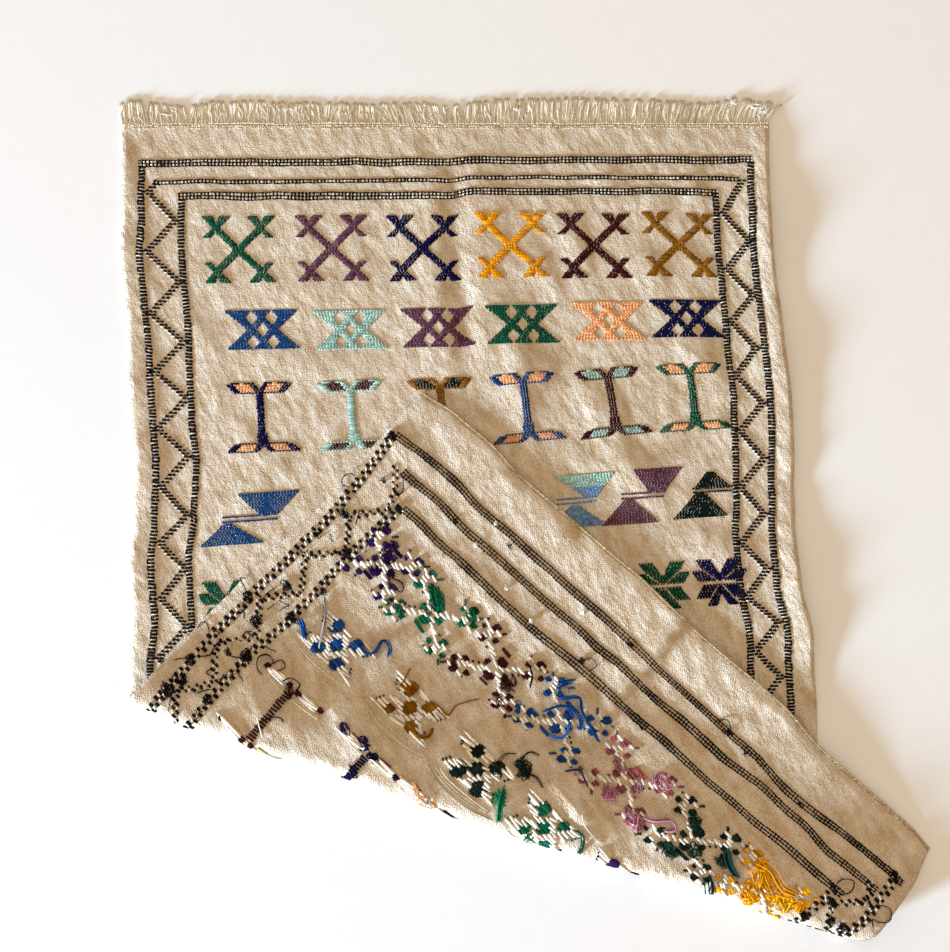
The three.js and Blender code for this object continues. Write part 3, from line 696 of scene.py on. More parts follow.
def star_figure(x, y):
    """Eight slanting petals, with thin bare lines of ground between them."""
    out, up, low = np.abs(x), np.abs(y), y > 0
    diagonal = np.where(low, 0.70, 1.25) * up
    side_outer = np.where(low, 24 + (up - 2) * 0.62, 31 + (up - 2) * 0.6)
    side_petal = (up > 1.8) & (up < np.where(low, 25, 19)) & (out > diagonal + 2.0) & (out < side_outer)
    end_outer = np.minimum(diagonal - 2.0, np.where(low, 15 + up * 0.35, 12 + up * 0.62))
    end_inner = np.where(low, (up - 16) * 0.45, (up - 12.5) * 0.6)
    end_petal = (up > 2.5) & (up < 37) & (out < end_outer) & (out > end_inner)
    return np.where(side_petal | end_petal, 1, 0)


STAR_ROW = [(138, 728, GREEN), (795, 732, GREEN), (881, 732, NAVY)]
chance = np.random.default_rng(25)
floats = []
for middle_u, middle_v, colour in STAR_ROW:
    floats += brocade(star_figure, middle_u, middle_v, 43, 37, [colour], tied=0.3)
lay_floats("star_row", floats, FACE)

# The fringe is the warp's own ends: thin singles that lie on the floor in a dense, uneven mat,
# tan underneath, with paler ones that wander over the others. They gather into small tufts,
# each with its own lean.
STRAND_COUNT, PALE_STRAND_COUNT, STRAND_HEIGHT, STRAND_STATIONS = 1500, 260, 0.4, 8
TUFT_COUNT, TUFT_GATHER = 96, 0.45
# u along the cloth's end, the length of the ends there, and how far they lean to the right.
FRINGE_RUN = [
    (0, 35, -8), (25, 42, -4), (92, 32, -2), (160, 41, -3), (330, 38, 0), (480, 38, -9), (512, 33, -7),
    (578, 46, -1), (700, 48, 5), (820, 45, 9), (886, 41, 12), (950, 50, 15), (975, 44, 18), (1000, 36, 27),
]
# u, reach and size of each small tangle where loose ends have knotted together.
FRINGE_TANGLES = [(76, 14, 7), (84, 20, 5), (255, 22, 5), (948, 36, 7), (978, 30, 8), (990, 22, 8), (610, 24, 4)]
UNDYED_TAN, UNDYED_PALE, OAT = "#ecdfc7", "#eae0cf", "#dccbae"


def trail(points, stations):
    """A smooth path through a few places (u, v, height), cut into even steps."""
    points = np.asarray(points, float)
    points = np.concatenate([[2 * points[0] - points[1]], points, [2 * points[-1] - points[-2]]])
    along = np.linspace(0, len(points) - 3 - 1e-9, stations)
    first = along.astype(int)
    t = (along - first)[:, None]
    a, b, c, d = (points[first + i] for i in range(4))
    return 0.5 * (2 * b + (c - a) * t + (2 * a - 5 * b + 4 * c - d) * t ** 2 + (3 * b - a - 3 * c + d) * t ** 3)


chance = np.random.default_rng(31)
paths, widths, dyes = [], [], []
tufts = np.linspace(4, CLOTH_WIDTH - 4, TUFT_COUNT) + chance.normal(0, 2.5, TUFT_COUNT)
tuft_lean, tuft_reach = chance.normal(0, 2.6, TUFT_COUNT), chance.uniform(0.9, 1.0, TUFT_COUNT)
for tan, strand_count in ((True, STRAND_COUNT), (False, PALE_STRAND_COUNT)):
    for place in np.linspace(2, CLOTH_WIDTH - 2, strand_count):
        root = place + chance.normal(0, 1.0)
        length, lean = read(FRINGE_RUN, root, 1), read(FRINGE_RUN, root, 2)
        if tan:
            reach, wander, lift = length * chance.uniform(0.93, 1.0), 1.0, -2.4 + chance.random() * 0.5
        else:
            reach, wander, lift = length * chance.uniform(0.3, 0.97), 3.5, -1.5 + chance.random() * 0.9
        tuft = np.argmin(np.abs(tufts - root))
        reach = reach * tuft_reach[tuft]
        side = lean * reach / length + tuft_lean[tuft] + TUFT_GATHER * (tufts[tuft] - root)
        side = side + chance.normal(0, wander)
        bend = chance.normal(0, wander * 0.8)
        paths.append(trail([
            (root, 1.0, 0.2), (root + chance.normal(0, 0.6), -4.0, lift + 0.6),
            (root + side * 0.35 + bend, -reach * 0.5, lift), (root + side, -reach, lift - 0.1),
        ], STRAND_STATIONS))
        widths.append(chance.uniform(0.8, 1.2) if tan else chance.uniform(0.4, 0.65))
        dyes.append(shade(UNDYED_TAN, 0.035) if tan else shade(UNDYED_PALE, 0.08))
for knot_u, knot_reach, size in FRINGE_TANGLES:
    for _ in range(5):
        paths.append(trail([(
            knot_u + size * chance.normal(0, 0.7), -knot_reach + size * chance.normal(0, 0.5),
            chance.uniform(-1.6, 0.4),
        ) for _ in range(4)], STRAND_STATIONS))
        widths.append(0.6)
        dyes.append(shade(UNDYED_PALE, 0.05))
heights = np.minimum(widths, STRAND_HEIGHT)
fringe = lay_yarns("fringe_yarns", paths, widths, heights, dyes, FACE)
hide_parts("warp_fringe")

# The weave is locked at the fringe by rows of small knots in undyed wool, and the hem by an
# overcast yarn, with a brown tacking thread just inside it.
# v of a row of knots, half the length of each, and the share of them that shows.
KNOT_ROWS = [(0.6, 2.0, 0.95), (4.4, 1.8, 0.8), (8.0, 1.5, 0.4)]
KNOT_PITCH, STITCH_PITCH = 3.4, 3.6
OVERCAST_TAN, TACKING_BROWN = "#bfa985", "#8a6f52"
chance = np.random.default_rng(32)
knots = []
for line_v, half_length, share in KNOT_ROWS:
    wander = chance.normal(0, 0.7, 27)
    for knot_u in np.arange(1.5, CLOTH_WIDTH - 1, KNOT_PITCH):
        if chance.random() < share:
            add_float(
                knots, knot_u + chance.normal(0, 0.4), line_v + vary(knot_u, 40, wander) + chance.normal(0, 0.3),
                half_length * chance.uniform(0.7, 1.3), chance.uniform(0.7, 1.1), 0.35, chance.normal(0, 0.4),
                OAT, 0.06,
            )
lay_floats("fringe_knots", knots, FACE)

stitches = []
for stitch_u in np.arange(2.0, CLOTH_WIDTH - 2, STITCH_PITCH):
    add_float(stitches, stitch_u, CLOTH_LENGTH - 1.2, 2.0, 1.1, 0.5, chance.normal(0.5, 0.15), OVERCAST_TAN, 0.08)
    if chance.random() < 0.75:
        add_float(
            stitches, stitch_u + 1.0, CLOTH_LENGTH - 4.6 + chance.normal(0, 0.3), chance.uniform(1.0, 1.8),
            0.5, 0.5, 0.05, TACKING_BROWN,
        )
lay_floats("hem_stitches", stitches, BACK)

# The flap shows the back of the borders at the other end: across it three lines of black ticks
# like ladders, and down each side staggered black beads, two lines with a zigzag between them.
# Slack undyed yarns slant between the beads, because the back is never pressed or trimmed.
BACK_TICK_PITCH, BACK_TICK_LENGTH, BACK_ROW_PITCH = 5.2, 3.4, 4.3
# v of a line across, its rows of ticks, and the u that it runs from and to.
BACK_LINES = [(1339.0, 3, 97, 926), (1377.0, 3, 60, 962), (1413.0, 3, 16, 984)]
# u, and how far each of the three strays from its line there.
LINE_STRAYS = [
    (0, 0, 0, 0), (300, 0, 0, 0), (560, 0, 0, -3), (680, -2, -1, -7), (760, 0, 6, -8), (820, 3, 7, -6),
    (880, 2, 0, -3), (990, 0, 0, 0),
]
# Places along each beaded line, as u and v.
BEAD_LINES = [
    [(12, 1412), (20, 1330), (24, 1230), (27, 1105), (27, 1029), (31, 944), (35, 890)],
    [(92, 1338), (84, 1260), (89, 1193), (92, 1124), (87, 1047), (88, 969), (90, 900)],
    [(974, 1414), (972, 1340), (968, 1240), (970, 1160)],
    [(912, 1342), (914, 1280), (915, 1200)],
]
BACK_ZIGZAGS = [
    [(46, 1376), (72, 1348), (80, 1322), (42, 1284), (78, 1244), (40, 1200), (76, 1158), (38, 1115),
     (76, 1072), (38, 1029), (76, 986), (42, 944), (74, 905)],
    [(948, 1382), (962, 1360), (924, 1322), (958, 1284), (924, 1240), (956, 1200)],
]
BEAD_STEP = 5.8

chance = np.random.default_rng(41)
ladders = []
for number, (line_v, line_rows, start, end) in enumerate(BACK_LINES):
    ticks = np.arange(start, end, BACK_TICK_PITCH)
    wander = vary(ticks, 40, chance.normal(0, 0.8, 27)) + read(LINE_STRAYS, ticks, number + 1)
    spacing = vary(ticks, 60, chance.normal(0, 0.4, 18))
    heavy = vary(ticks, 25, chance.random(43) ** 4)
    for tick, drift_here, spread, weight in zip(ticks, wander, spacing, heavy):
        for row in range(line_rows):
            row_v = line_v + drift_here + (row - (line_rows - 1) / 2) * (BACK_ROW_PITCH + spread)
            add_float(
                ladders, tick + chance.normal(0, 0.25), row_v + chance.normal(0, 0.2),
                BACK_TICK_LENGTH / 2 * (1 + 0.5 * weight), 1.2 * (1 + 0.6 * weight), FLOAT_HEIGHT,
                chance.normal(-0.05, 0.08), BLACK_WOOL,
            )
            between_u, between_width = tick + BACK_TICK_PITCH / 2, 0.4 * (1 + 1.5 * weight)
            add_float(ladders, between_u, row_v, 1.7, between_width, 0.7, 0.0, BLACK_WOOL)
            if row and chance.random() < 0.35 + weight:
                add_float(ladders, tick, row_v - BACK_ROW_PITCH / 2, 2.2, 0.55, 0.7, QUARTER, BLACK_WOOL)
lay_floats("back_ladders", ladders, BACK)


def walk(points, step):
    """Even steps along a line of places, and the heading at each."""
    points = np.asarray(points, float)
    lengths = np.concatenate([[0], np.cumsum(np.hypot(*np.diff(points, axis=0).T))])
    stops = np.arange(0, lengths[-1], step)
    u, v = np.interp(stops, lengths, points[:, 0]), np.interp(stops, lengths, points[:, 1])
    return u, v, np.arctan2(np.gradient(v), np.gradient(u))


beads = []
for line in BEAD_LINES:
    for i, (bead_u, bead_v, _) in enumerate(zip(*walk(line, BEAD_STEP))):
        side_step = (3.6 if i % 2 else -3.6) + chance.normal(0, 0.4)
        bulk = chance.uniform(0.75, 1.12)
        add_float(
            beads, bead_u + side_step, bead_v + chance.normal(0, 0.4), 4.2 * bulk, 2.7 * bulk, 1.7 * bulk,
            chance.normal(0.0, 0.18), BLACK_WOOL,
        )
        if chance.random() < 0.85:
            add_float(
                beads, bead_u - side_step * 0.7, bead_v + BEAD_STEP * 0.1 + chance.normal(0, 0.5),
                chance.uniform(3.2, 5.0), 1.4, 1.5, -0.45 + chance.normal(0, 0.12), UNDYED_PALE, 0.05,
            )
for line in BACK_ZIGZAGS:
    for i, (bead_u, bead_v, heading) in enumerate(zip(*walk(line, BEAD_STEP * 0.95))):
        side_step = (2.6 if i % 2 else -2.6) + chance.normal(0, 0.7)
        aside_u, aside_v = side_step * math.sin(heading), side_step * math.cos(heading)
        bulk = chance.uniform(0.6, 1.15)
        add_float(
            beads, bead_u - aside_u, bead_v + aside_v, 3.6 * bulk, 2.2 * bulk, 1.5 * bulk,
            chance.normal(-0.1, 0.25), BLACK_WOOL,
        )
        if chance.random() < 0.7:
            add_float(
                beads, bead_u + aside_u, bead_v - aside_v, chance.uniform(2.4, 4.2), 1.0, 1.0,
                -0.6 + chance.normal(0, 0.15), UNDYED_PALE, 0.05,
            )
lay_floats("back_beads", beads, BACK)

# The backs of the figures: behind the bare gaps of the face the dyed yarn passes in blocks, and
# behind its dyed arms thick slack undyed weft crosses in rows, with a dot of dye at its ends.
NEAR_BLACK, DARK_GREEN, PINK, ROSE, YELLOW = "#14211c", "#16352a", "#8f4a50", "#b07688", "#f0a312"
BLUE_BACK, GREEN_BACK, VIOLET, DARK_NAVY = "#154177", "#0b573c", "#281040", "#141038"
BRIGHT_GREEN, BRIGHT_BLUE, DEEP_BLUE, SLACK_CREAM = "#11744f", "#2a67b4", "#16336e", "#e2d1b0"
SLACK_PITCH = 4.8


def block(middle_u, middle_v, half_width, half_height, colour):
    """A rounded block of dyed floats, one to a row."""
    size = chance.uniform(0.8, 1.25)
    middle_u, middle_v = middle_u + chance.normal(0, 1.2), middle_v + chance.normal(0, 0.8)
    for row_y in np.arange(-half_height * size, half_height * size + 0.1, ROW_PITCH):
        length = half_width * size * math.sqrt(max(0.1, 1 - (row_y / (half_height * size + 1.2)) ** 2))
        add_float(
            dyed, middle_u + 0.25 * row_y + chance.normal(0, 0.7), middle_v + row_y, length, ROW_PITCH / 2 * 1.35,
            chance.uniform(1.6, 2.3), chance.normal(-0.12, 0.07), colour, 0.15,
        )


def slack_float(middle_u, middle_v, half_length, lean=-0.2):
    add_float(
        slack, middle_u + chance.normal(0, 1.2), middle_v + chance.normal(0, 0.8),
        half_length * chance.uniform(0.8, 1.3), chance.uniform(1.7, 2.5), chance.uniform(1.3, 2.0),
        chance.normal(lean, 0.12), CREAM, 0.04,
    )


def dots(middle_u, middle_v, step_u, step_v, count, colour):
    for i in range(count):
        add_float(
            dyed, middle_u + i * step_u, middle_v + i * step_v, chance.uniform(1.5, 2.2), 1.4, 1.3,
            chance.normal(-0.1, 0.2), colour, 0.15,
        )


# u and v of each middle, how far its ends spread, and its colour.
CROSS_BACKS = [
    (130, 1264, 32, 26, VIOLET), (232, 1260, 42, 30, GREEN_BACK), (356, 1266, 42, 30, MAROON),
    (479, 1268, 42, 30, BLUE_BACK), (605, 1264, 42, 30, PINK), (728, 1262, 42, 30, NEAR_BLACK),
    (846, 1270, 42, 28, YELLOW),
]
LATTICE_BACKS = [
    (168, 1137, BLUE_BACK), (309, 1141, OCHRE), (439, 1138, NEAR_BLACK), (564, 1138, GREEN_BACK),
    (690, 1140, VIOLET),
]
LATTICE_GAPS = [(0, 0), (-20, 19), (20, 19), (-20, -19), (20, -19)]
LATTICE_HALF_WIDTH, LATTICE_HALF_HEIGHT = 56, 26.4
chance = np.random.default_rng(42)
dyed, slack = [], []
for middle_u, middle_v, spread_u, spread_v, colour in CROSS_BACKS:
    for sign_v in (-1, 1):
        block(middle_u, middle_v + sign_v * 13, 8.5, 5.5, colour)
        block(middle_u + sign_v * 17, middle_v, 5.5, 3.0, colour)
        if chance.random() < 0.8:
            block(middle_u + chance.normal(0, 3), middle_v + sign_v * 25, 12, 1.4, colour)
        for sign_u in (-1, 1):
            for i in range(1, 5):
                arm_u = spread_u * 0.16 * i
                slack_float(middle_u + sign_u * arm_u, middle_v + sign_v * spread_v * 0.16 * i, 8.5)
                if chance.random() < 0.6:
                    dot_v = middle_v + sign_v * (SLACK_PITCH * i - 1)
                    dots(middle_u + sign_u * (arm_u + 11), dot_v, 1, 1, 1, colour)
            corner_u, corner_v = middle_u + sign_u * spread_u, middle_v + sign_v * spread_v
            for place_u, place_v, half_width, half_height in (
                (2, 12, 7.0, 4.5), (-2, -11, 6.0, 4.0), (15, -2, 5.0, 3.0), (-14, 2, 4.0, 2.4),
            ):
                block(corner_u + place_u, corner_v + place_v, half_width, half_height, colour)
            for row in (-2, -1, 0, 1, 2):
                for lean in (-1, 1) if abs(row) > 1 else (0,):
                    if chance.random() < 0.85:
                        slack_float(corner_u + lean * 9 + chance.normal(0, 1.5), corner_v + SLACK_PITCH * row, 7.5)
            for lean in (-1, 1):
                count = chance.integers(1, 4)
                dots(corner_u + lean * 15, corner_v + sign_v * 11, lean * 2.2, sign_v * 2.4, count, colour)
for middle_u, middle_v, colour in LATTICE_BACKS:
    for place_u, place_v in LATTICE_GAPS:
        block(middle_u + place_u, middle_v + place_v, 10.5, 8.8, colour)
    across = np.arange(-LATTICE_HALF_WIDTH, LATTICE_HALF_WIDTH + 1, 1.0)
    for row_y in np.arange(-LATTICE_HALF_HEIGHT, LATTICE_HALF_HEIGHT + 0.1, SLACK_PITCH):
        dyed_here = lattice_figure(across, np.full_like(across, row_y))
        arms = np.flatnonzero(np.diff(np.concatenate([[0], dyed_here, [0]])))
        for left, right in zip(arms[::2], arms[1::2]):
            pieces = max(1, round((right - left) / 34))
            width = (right - left) / pieces
            for piece in range(pieces):
                if chance.random() < 0.9:
                    piece_u = middle_u + across[left] + width * (piece + 0.5)
                    slack_float(piece_u, middle_v + row_y, width / 2 + 3.0, -0.06)
    for sign_u in (-1, 1):
        for sign_v in (-1, 1):
            dots(middle_u + sign_u * 40, middle_v + sign_v * 12, sign_u * 2.6, sign_v * 4.6, 3, colour)

# Behind each pillar short bars cross its stem, and long slack yarns run behind its leaves.
# u of the stem, v of the top leaves and of the foot, and the colours of outline and filling.
PILLAR_BACKS = [
    (167, 1052, 953, MAROON, "#e6d48a"), (311, 1056, 957, DARK_NAVY, "#7c4a18"), (420, 1058, 962, PEACH, NAVY),
]
PILLAR_BAR_PITCH, PILLAR_BAR_MARGIN = 4.7, 8
for stem_u, top_v, foot_v, outline, filling in PILLAR_BACKS:
    for bar_v in np.arange(foot_v + PILLAR_BAR_MARGIN, top_v - PILLAR_BAR_MARGIN, PILLAR_BAR_PITCH):
        add_float(
            dyed, stem_u + chance.normal(0, 0.4), bar_v, 6.5 * chance.uniform(0.85, 1.1), 1.5, 1.6,
            chance.normal(0.1, 0.08), outline,
        )
    for end_v in (top_v, foot_v):
        for sign in (-1, 1):
            for row in (-1.5, -0.5, 0.5):
                add_float(
                    slack, stem_u + sign * 30 + chance.normal(0, 3), end_v + row * 3.0,
                    30 * chance.uniform(0.7, 1.15), 2.0, 1.8, chance.normal(0, 0.06), CREAM, 0.04,
                )
            add_float(
                dyed, stem_u + sign * 27 + chance.normal(0, 3), end_v + 4.5, 12 * chance.uniform(0.6, 1.0),
                1.4, 1.5, chance.normal(0, 0.06), filling, 0.08,
            )
            block(stem_u + sign * 50, end_v, 5.0, 2.4, outline)
            block(stem_u + sign * 8, end_v, 5.0, 3.0, outline)
lay_floats("figure_backs", dyed, BACK, lift=0.9)
lay_floats("slack_weft", slack, BACK, lift=1.6, blunt=0.5)

# Loose ends: every yarn that was joined or turned back leaves a tail, a loop or a small tangle
# that lies where it fell.
TAIL_STATIONS = 16
loose, thickness, dyes = [], [], []


def lay_tail(points, colour, radius, strands=1, spread=0.0):
    """Strands side by side through a few places (u, v, height)."""
    for strand in range(strands):
        aside = chance.normal(0, spread, 2) if strand else np.zeros(2)
        places = [
            (u + aside[0] + chance.normal(0, 0.3), v + aside[1] + chance.normal(0, 0.3), height + 0.5 * strand)
            for u, v, height in points
        ]
        loose.append(trail(places, TAIL_STATIONS))
        thickness.append(radius * chance.uniform(0.85, 1.15))
        dyes.append(shade(colour))


def tangle(u, v, size, strands, colour, radius):
    """Strands that wander over a small round patch."""
    for _ in range(max(3, int(strands * 0.6))):
        points = []
        for _ in range(chance.integers(4, 7)):
            turn, reach = chance.uniform(0, 2 * math.pi), 1.25 * size * math.sqrt(chance.uniform(0.02, 1.0))
            points.append((
                u + reach * math.cos(turn), v + reach * math.sin(turn) * 0.75 - 0.2 * reach * math.cos(turn),
                chance.uniform(0.8, 2.5 + size * 0.12),
            ))
        loose.append(trail(points, TAIL_STATIONS))
        thickness.append(radius * chance.uniform(0.65, 1.0))
        dyes.append(shade(colour, 0.15))


# Black tangles, as u, v and size, along the left border and then at the right corner.
BLACK_TANGLES = [
    (56, 1089, 9), (92, 1125, 9), (86, 1043, 10), (26, 990, 8), (32, 935, 10), (87, 962, 8), (26, 1106, 9),
    (54, 1152, 9), (38, 962, 9), (36, 1282, 9), (45, 1351, 5), (78, 1247, 6), (12, 1408, 7), (90, 1336, 7),
    (30, 1236, 6), (96, 1180, 6), (60, 1030, 6), (924, 1322, 8), (960, 1306, 8), (912, 1286, 9), (972, 1412, 8),
    (944, 1304, 7), (914, 1342, 6),
]
LADDER_TANGLES = [
    (564, 1333), (702, 1401), (666, 1406), (806, 1403), (438, 1349), (474, 1408), (248, 1402), (164, 1376),
]
for u, v, size in BLACK_TANGLES:
    tangle(u, v, size, int(4 + size * 0.8), BLACK_WOOL, 0.75)
for u, v in LADDER_TANGLES:
    tangle(u, v, 4.5, 4, BLACK_WOOL, 0.7)
for _ in range(34):
    start_u, start_v = chance.choice([24, 42, 60, 78, 92]), chance.uniform(925, 1300)
    turn, reach = chance.uniform(0, 2 * math.pi), chance.uniform(7, 15)
    bend = turn + chance.normal(0, 0.9)
    bend_u, bend_v = start_u + reach * math.cos(turn), start_v + reach * math.sin(turn)
    end_u = start_u + reach * (math.cos(turn) + 0.8 * math.cos(bend))
    end_v = start_v + reach * (math.sin(turn) + 0.8 * math.sin(bend))
    lay_tail([(start_u, start_v, 1.5), (bend_u, bend_v, 2.5), (end_u, end_v, 1.0)], BLACK_WOOL, 0.7)

# All the others in turn, by colour: radius, number of strands, how far these lie apart, and the
# places (u, v, height) that they pass. A tangle has its size instead, and one place (u, v).
LOOSE_YARNS = [
    (BLACK_WOOL, [
        (0.75, 1, 0, (22, 1033, 2), (8, 1041, 3), (2, 1035, 2), (3, 1025, 0.8)),
        (0.75, 1, 0, (22, 1108, 2), (9, 1114, 3), (-2, 1119, 2), (4, 1124, 1)),
        (0.75, 1, 0, (27, 988, 2), (18, 985, 2), (9, 974, 1)),
        (0.75, 1, 0, (42, 1020, 2), (43, 1011, 2), (34, 1001, 1)),
        (0.75, 1, 0, (85, 1041, 2), (78, 1034, 2), (66, 1028, 1)),
        (0.75, 1, 0, (18, 1326, 2), (6, 1332, 4), (-2, 1322, 4), (4, 1312, 2), (16, 1316, 1)),
        (0.75, 1, 0, (74, 1345, 1), (78, 1356, 2), (68, 1368, 2), (56, 1374, 1)),
        (0.75, 1, 0, (968, 1346, 1), (974, 1362, 3), (990, 1370, 4), (1000, 1356, 3), (990, 1344, 2),
         (980, 1342, 1), (992, 1330, 1)),
        (0.75, 1, 0, (912, 1346, 1), (914, 1358, 4), (928, 1366, 4), (933, 1352, 3), (924, 1338, 1)),
        (0.75, 1, 0, (438, 1349, 1), (446, 1360, 4), (458, 1356, 4), (456, 1344, 2)),
        (0.75, 1, 0, (640, 1408, 1), (650, 1418, 3), (662, 1412, 4), (656, 1402, 2)),
    ]),
    (BLUE_BACK, [
        (0.9, 3, 0.9, (102, 1178, 2), (117, 1163, 3), (131, 1149, 3), (142, 1132, 3), (153, 1117, 2)),
    ]),
    (CREAM, [(0.8, 2, 0.8, (108, 1172, 4), (124, 1157, 4), (140, 1136, 4), (153, 1116, 3))]),
    (BLUE_BACK, [
        (1.3, 9, 2.6, (106, 1128, 2), (114, 1126, 5), (122, 1120, 4), (128, 1116, 2)),
        (1.1, 4, 1.2, (188, 1158, 3), (206, 1156, 4), (214, 1164, 5), (209, 1184, 5), (224, 1184, 5),
         (233, 1171, 3)),
        (1.1, 4, 1.0, (448, 1262, 3), (462, 1284, 5), (478, 1292, 5), (497, 1288, 4), (508, 1276, 2)),
        (1.1, 6, 1.6, (452, 1288, 3), (464, 1304, 5), (474, 1308, 4), (486, 1298, 5), (508, 1290, 5),
         (540, 1280, 3)),
    ]),
    (BRIGHT_BLUE, [(1.1, 5, 1.3, (488, 1276, 4), (496, 1262, 5), (494, 1248, 4), (480, 1243, 2))]),
    (BLUE_BACK, [(1.1, 5, 1.6, (448, 1322, 3), (440, 1306, 4), (446, 1296, 3))]),
    (DEEP_BLUE, [(0.8, 2, 0.8, (533, 1215, 2), (546, 1231, 3), (558, 1229, 3), (573, 1221, 1))]),
    (BLUE_BACK, [(0.9, 8, 8, (420, 1246))]),
    (VIOLET, [
        (0.7, 22, 15, (126, 1280)), (0.7, 10, 8, (123, 1294)), (0.9, 12, 9, (124, 1250)),
        (0.7, 2, 1.2, (136, 1262, 2), (160, 1252, 4), (178, 1254, 4), (170, 1264, 3), (150, 1258, 1)),
    ]),
    (GREEN_BACK, [
        (0.9, 26, 15, (222, 1280)), (0.8, 12, 9, (193, 1236)), (0.9, 14, 9, (276, 1296)),
        (0.7, 8, 14, (232, 1262)),
    ]),
    (BRIGHT_GREEN, [
        (1.0, 18, 11, (490, 1128)),
        (1.1, 9, 3.0, (486, 1143, 2), (492, 1128, 4), (503, 1112, 3), (508, 1104, 1)),
    ]),
    (GREEN_BACK, [
        (0.9, 4, 1.4, (598, 1164, 2), (610, 1166, 3), (620, 1156, 3), (626, 1140, 1)),
        (0.8, 10, 10, (560, 1112)),
    ]),
    (MAROON, [
        (0.8, 2, 0.6, (124, 1060, 2), (107, 1064, 5), (100, 1052, 5), (109, 1040, 4), (121, 1038, 2)),
        (0.8, 1, 0, (118, 1054, 2), (125, 1070, 4), (137, 1066, 4), (132, 1054, 2)),
        (0.8, 2, 1.2, (148, 1048, 2), (154, 1060, 5), (170, 1062, 5), (172, 1050, 3)),
        (0.8, 1, 0, (163, 986, 2), (172, 1002, 3), (182, 1010, 3), (190, 1008, 1)), (0.7, 10, 9, (167, 1044)),
        (0.7, 18, 13, (382, 1262)), (0.7, 9, 9, (398, 1232)), (0.8, 8, 7, (308, 1230)),
        (0.9, 4, 1.2, (380, 1300, 3), (400, 1292, 4), (412, 1276, 2)),
    ]),
    (OCHRE, [
        (1.1, 5, 1.6, (330, 1124, 2), (346, 1120, 4), (356, 1130, 4), (353, 1142, 2)),
        (0.9, 2, 0.8, (321, 1168, 2), (339, 1171, 3), (356, 1170, 3), (354, 1187, 3), (364, 1206, 2),
         (373, 1218, 1)), (0.6, 2, 0.8, (276, 1147, 2), (275, 1161, 4), (268, 1184, 1)),
        (0.9, 12, 9, (290, 1158)), (0.8, 10, 12, (310, 1140)),
    ]),
    (DARK_NAVY, [
        (0.8, 11, 9, (262, 1058)), (0.8, 11, 10, (296, 1060)), (0.8, 11, 8, (318, 1052)),
        (0.8, 11, 9, (312, 1020)),
    ]),
    (NEAR_BLACK, [
        (0.7, 22, 15, (489, 1180)), (0.8, 12, 9, (462, 1150)), (0.8, 10, 10, (420, 1128)),
        (0.7, 2, 1.2, (456, 1160, 2), (456, 1180, 4), (467, 1191, 1)),
        (0.7, 2, 1.2, (492, 1178, 2), (510, 1182, 3), (525, 1178, 1)),
        (0.7, 2, 1.2, (476, 1188, 2), (480, 1204, 3), (494, 1210, 1)),
    ]),
    (PEACH, [(0.6, 9, 12, (396, 1060))]),
    (CREAM, [(0.6, 9, 9, (420, 1056))]),
    (ROSE, [
        (0.8, 16, 12, (584, 1278)), (0.8, 26, 14, (640, 1296)), (0.8, 18, 14, (600, 1236)),
        (0.8, 28, 16, (652, 1230)), (0.8, 10, 10, (622, 1270)),
        (1.0, 5, 1.4, (656, 1240, 2), (672, 1248, 4), (688, 1264, 5), (700, 1258, 4), (690, 1246, 2)),
    ]),
    (DARK_GREEN, [
        (0.85, 18, 12, (716, 1282)), (0.85, 14, 11, (778, 1264)), (0.85, 18, 14, (716, 1230)),
        (0.85, 14, 12, (740, 1252)), (1.1, 9, 3.0, (772, 1282, 3), (790, 1268, 4), (810, 1262, 2)),
        (1.0, 4, 3.4, (780, 1232, 3), (796, 1222, 4), (808, 1212, 2)),
    ]),
    (YELLOW, [
        (0.9, 22, 16, (826, 1292)), (0.9, 24, 16, (876, 1280)), (0.9, 18, 14, (838, 1254)),
        (0.9, 14, 22, (850, 1278)), (0.9, 12, 10, (898, 1288)),
        (0.9, 3, 4.0, (812, 1300, 3), (834, 1304, 4), (862, 1296, 5), (886, 1302, 3)),
    ]),
]
for colour, yarns in LOOSE_YARNS:
    for radius, strands, spread, *places in yarns:
        if len(places) == 1:
            tangle(*places[0], spread, strands, colour, radius)
        else:
            lay_tail(places, colour, radius, strands, spread)

# Undyed weft, slack in shallow arcs below the lattices and the pillars: the u of both ends,
# their v, the number of arcs and how far each lies below the last.
SLACK_ARCS = [
    (112, 226, 1106, 3, 4.4), (256, 366, 1108, 4, 4.4), (384, 492, 1106, 4, 4.4), (516, 600, 1104, 3, 4.4),
    (118, 220, 1044, 2, 2.5), (258, 362, 1050, 2, 2.5), (110, 176, 957, 2, 2.5),
]
for start_u, end_u, low_v, count, arc_pitch in SLACK_ARCS:
    for i in range(count):
        drop = arc_pitch * (i + 1) + chance.normal(0, 0.8)
        length, end_v = end_u - start_u, low_v - drop * 0.4
        lay_tail([
            (start_u + chance.normal(0, 6), low_v + 2 - drop * 0.4, 0.3), (start_u + length * 0.3, low_v - drop, 0.5),
            (start_u + length * 0.75, low_v - drop * 0.9, 0.5), (end_u + chance.normal(0, 6), end_v, 0.3),
        ], SLACK_CREAM, 0.5)
for points in (
    [(155, 992, 3), (166, 984, 3), (181, 972, 2)], [(533, 1246, 1), (556, 1240, 3), (580, 1230, 1)],
    [(590, 1188, 1), (604, 1178, 3), (640, 1172, 1)],
):
    lay_tail(points, CREAM, 0.9)
# White fluff, where the ground yarn was joined.
for u, v in [(211, 1412), (185, 1330), (211, 1371), (344, 1345), (460, 1365), (286, 1356), (392, 1398)]:
    tangle(u, v, 3.2, 9, CREAM, 0.8)
lay_yarns("loose_ends", loose, thickness, thickness, dyes, BACK)

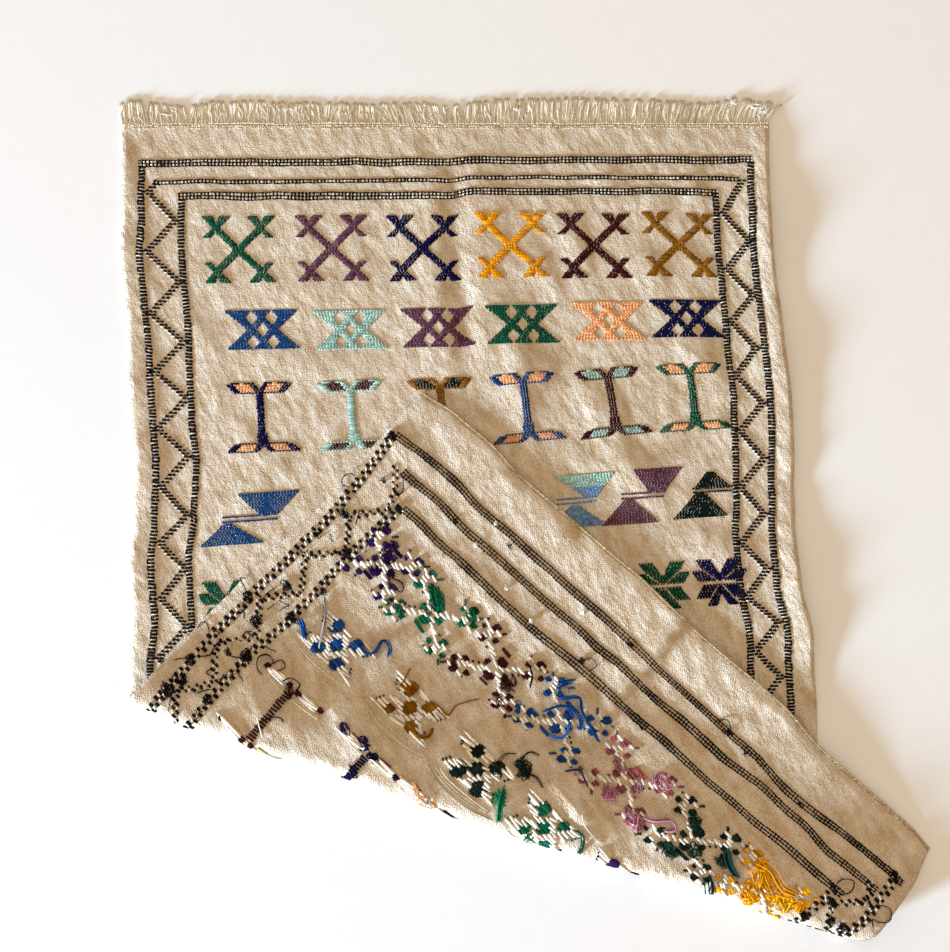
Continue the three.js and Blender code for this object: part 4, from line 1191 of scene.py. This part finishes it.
# The floor is a plain pale board, and low soft light comes from the lower left, as in the
# photograph. The camera looks straight down, a little tilted, from a step ladder's height.
FLOOR_HALF_SIZE, FLOOR_DROP = 6.0, 0.0004
bm = bmesh.new()
bmesh.ops.create_grid(bm, x_segments=1, y_segments=1, size=FLOOR_HALF_SIZE)
bmesh.ops.translate(bm, verts=bm.verts, vec=(0.0, 0.0, -FLOOR_DROP))
floor = finish_mesh("floor", bm)
# Matt paint: nearly white, with no gloss and only a breath of unevenness.
painted, shader = new_material("matt painted board", 0.9, 0.1)
grain = add_node(painted, "TexCoord", output="Object")
grain = add_node(painted, "TexNoise", {"Vector": grain, "Scale": 40.0, "Detail": 3.0})
ramp = add_node(painted, "ValToRGB", {"Fac": grain})
for stop, colour in zip(ramp.node.color_ramp.elements, ("#f7f7f7", "#fbfbfb")):
    stop.color = linear(colour)
painted.node_tree.links.new(ramp, shader.inputs["Base Color"])
floor.data.materials.append(painted)

LAMP_PLACE, LAMP_SIZE, LAMP_POWER, LAMP_COLOUR = (-5.7, -4.1, 1.0), 1.0, 1785.0, (0.56, 0.755, 1.0)
light = bpy.data.lights.new("low_window", "AREA")
light.shape, light.size, light.energy, light.color = "DISK", LAMP_SIZE, LAMP_POWER, LAMP_COLOUR
lamp = bpy.data.objects.new("low_window", light)
lamp.location = LAMP_PLACE
lamp.rotation_euler = (-Vector(LAMP_PLACE)).to_track_quat("-Z", "Y").to_euler()
bpy.context.scene.collection.objects.link(lamp)
ROOM_COLOUR, ROOM_STRENGTH = "#ffe8ca", 0.7
room = bpy.data.worlds.new("room")
room.use_nodes = True
room.node_tree.nodes["Background"].inputs["Color"].default_value = linear(ROOM_COLOUR)
room.node_tree.nodes["Background"].inputs["Strength"].default_value = ROOM_STRENGTH
bpy.context.scene.world = room
bpy.context.scene.view_settings.view_transform = "Standard"

# The focal length in pixels of the photograph, and its width, give the lens.
SENSOR_WIDTH, FOCAL_PIXELS, PHOTO_WIDTH = 36.0, 1220.7, 950.0
VIEW_DISTANCE, VIEW_TILT = 1.85, math.radians(5.2)
camera = bpy.data.cameras.new("overhead")
camera.lens, camera.sensor_width = SENSOR_WIDTH * FOCAL_PIXELS / PHOTO_WIDTH, SENSOR_WIDTH
camera.sensor_fit = "HORIZONTAL"
eye = bpy.data.objects.new("overhead", camera)
target = Vector((FOOTPRINT_SHIFT[0] / 1000.0, FOOTPRINT_SHIFT[1] / 1000.0, 0.0))
eye.location = target + Vector((0.0, -math.sin(VIEW_TILT), math.cos(VIEW_TILT))) * VIEW_DISTANCE
eye.rotation_euler = (VIEW_TILT, 0.0, 0.0)
bpy.context.scene.collection.objects.link(eye)
bpy.context.scene.camera = eye
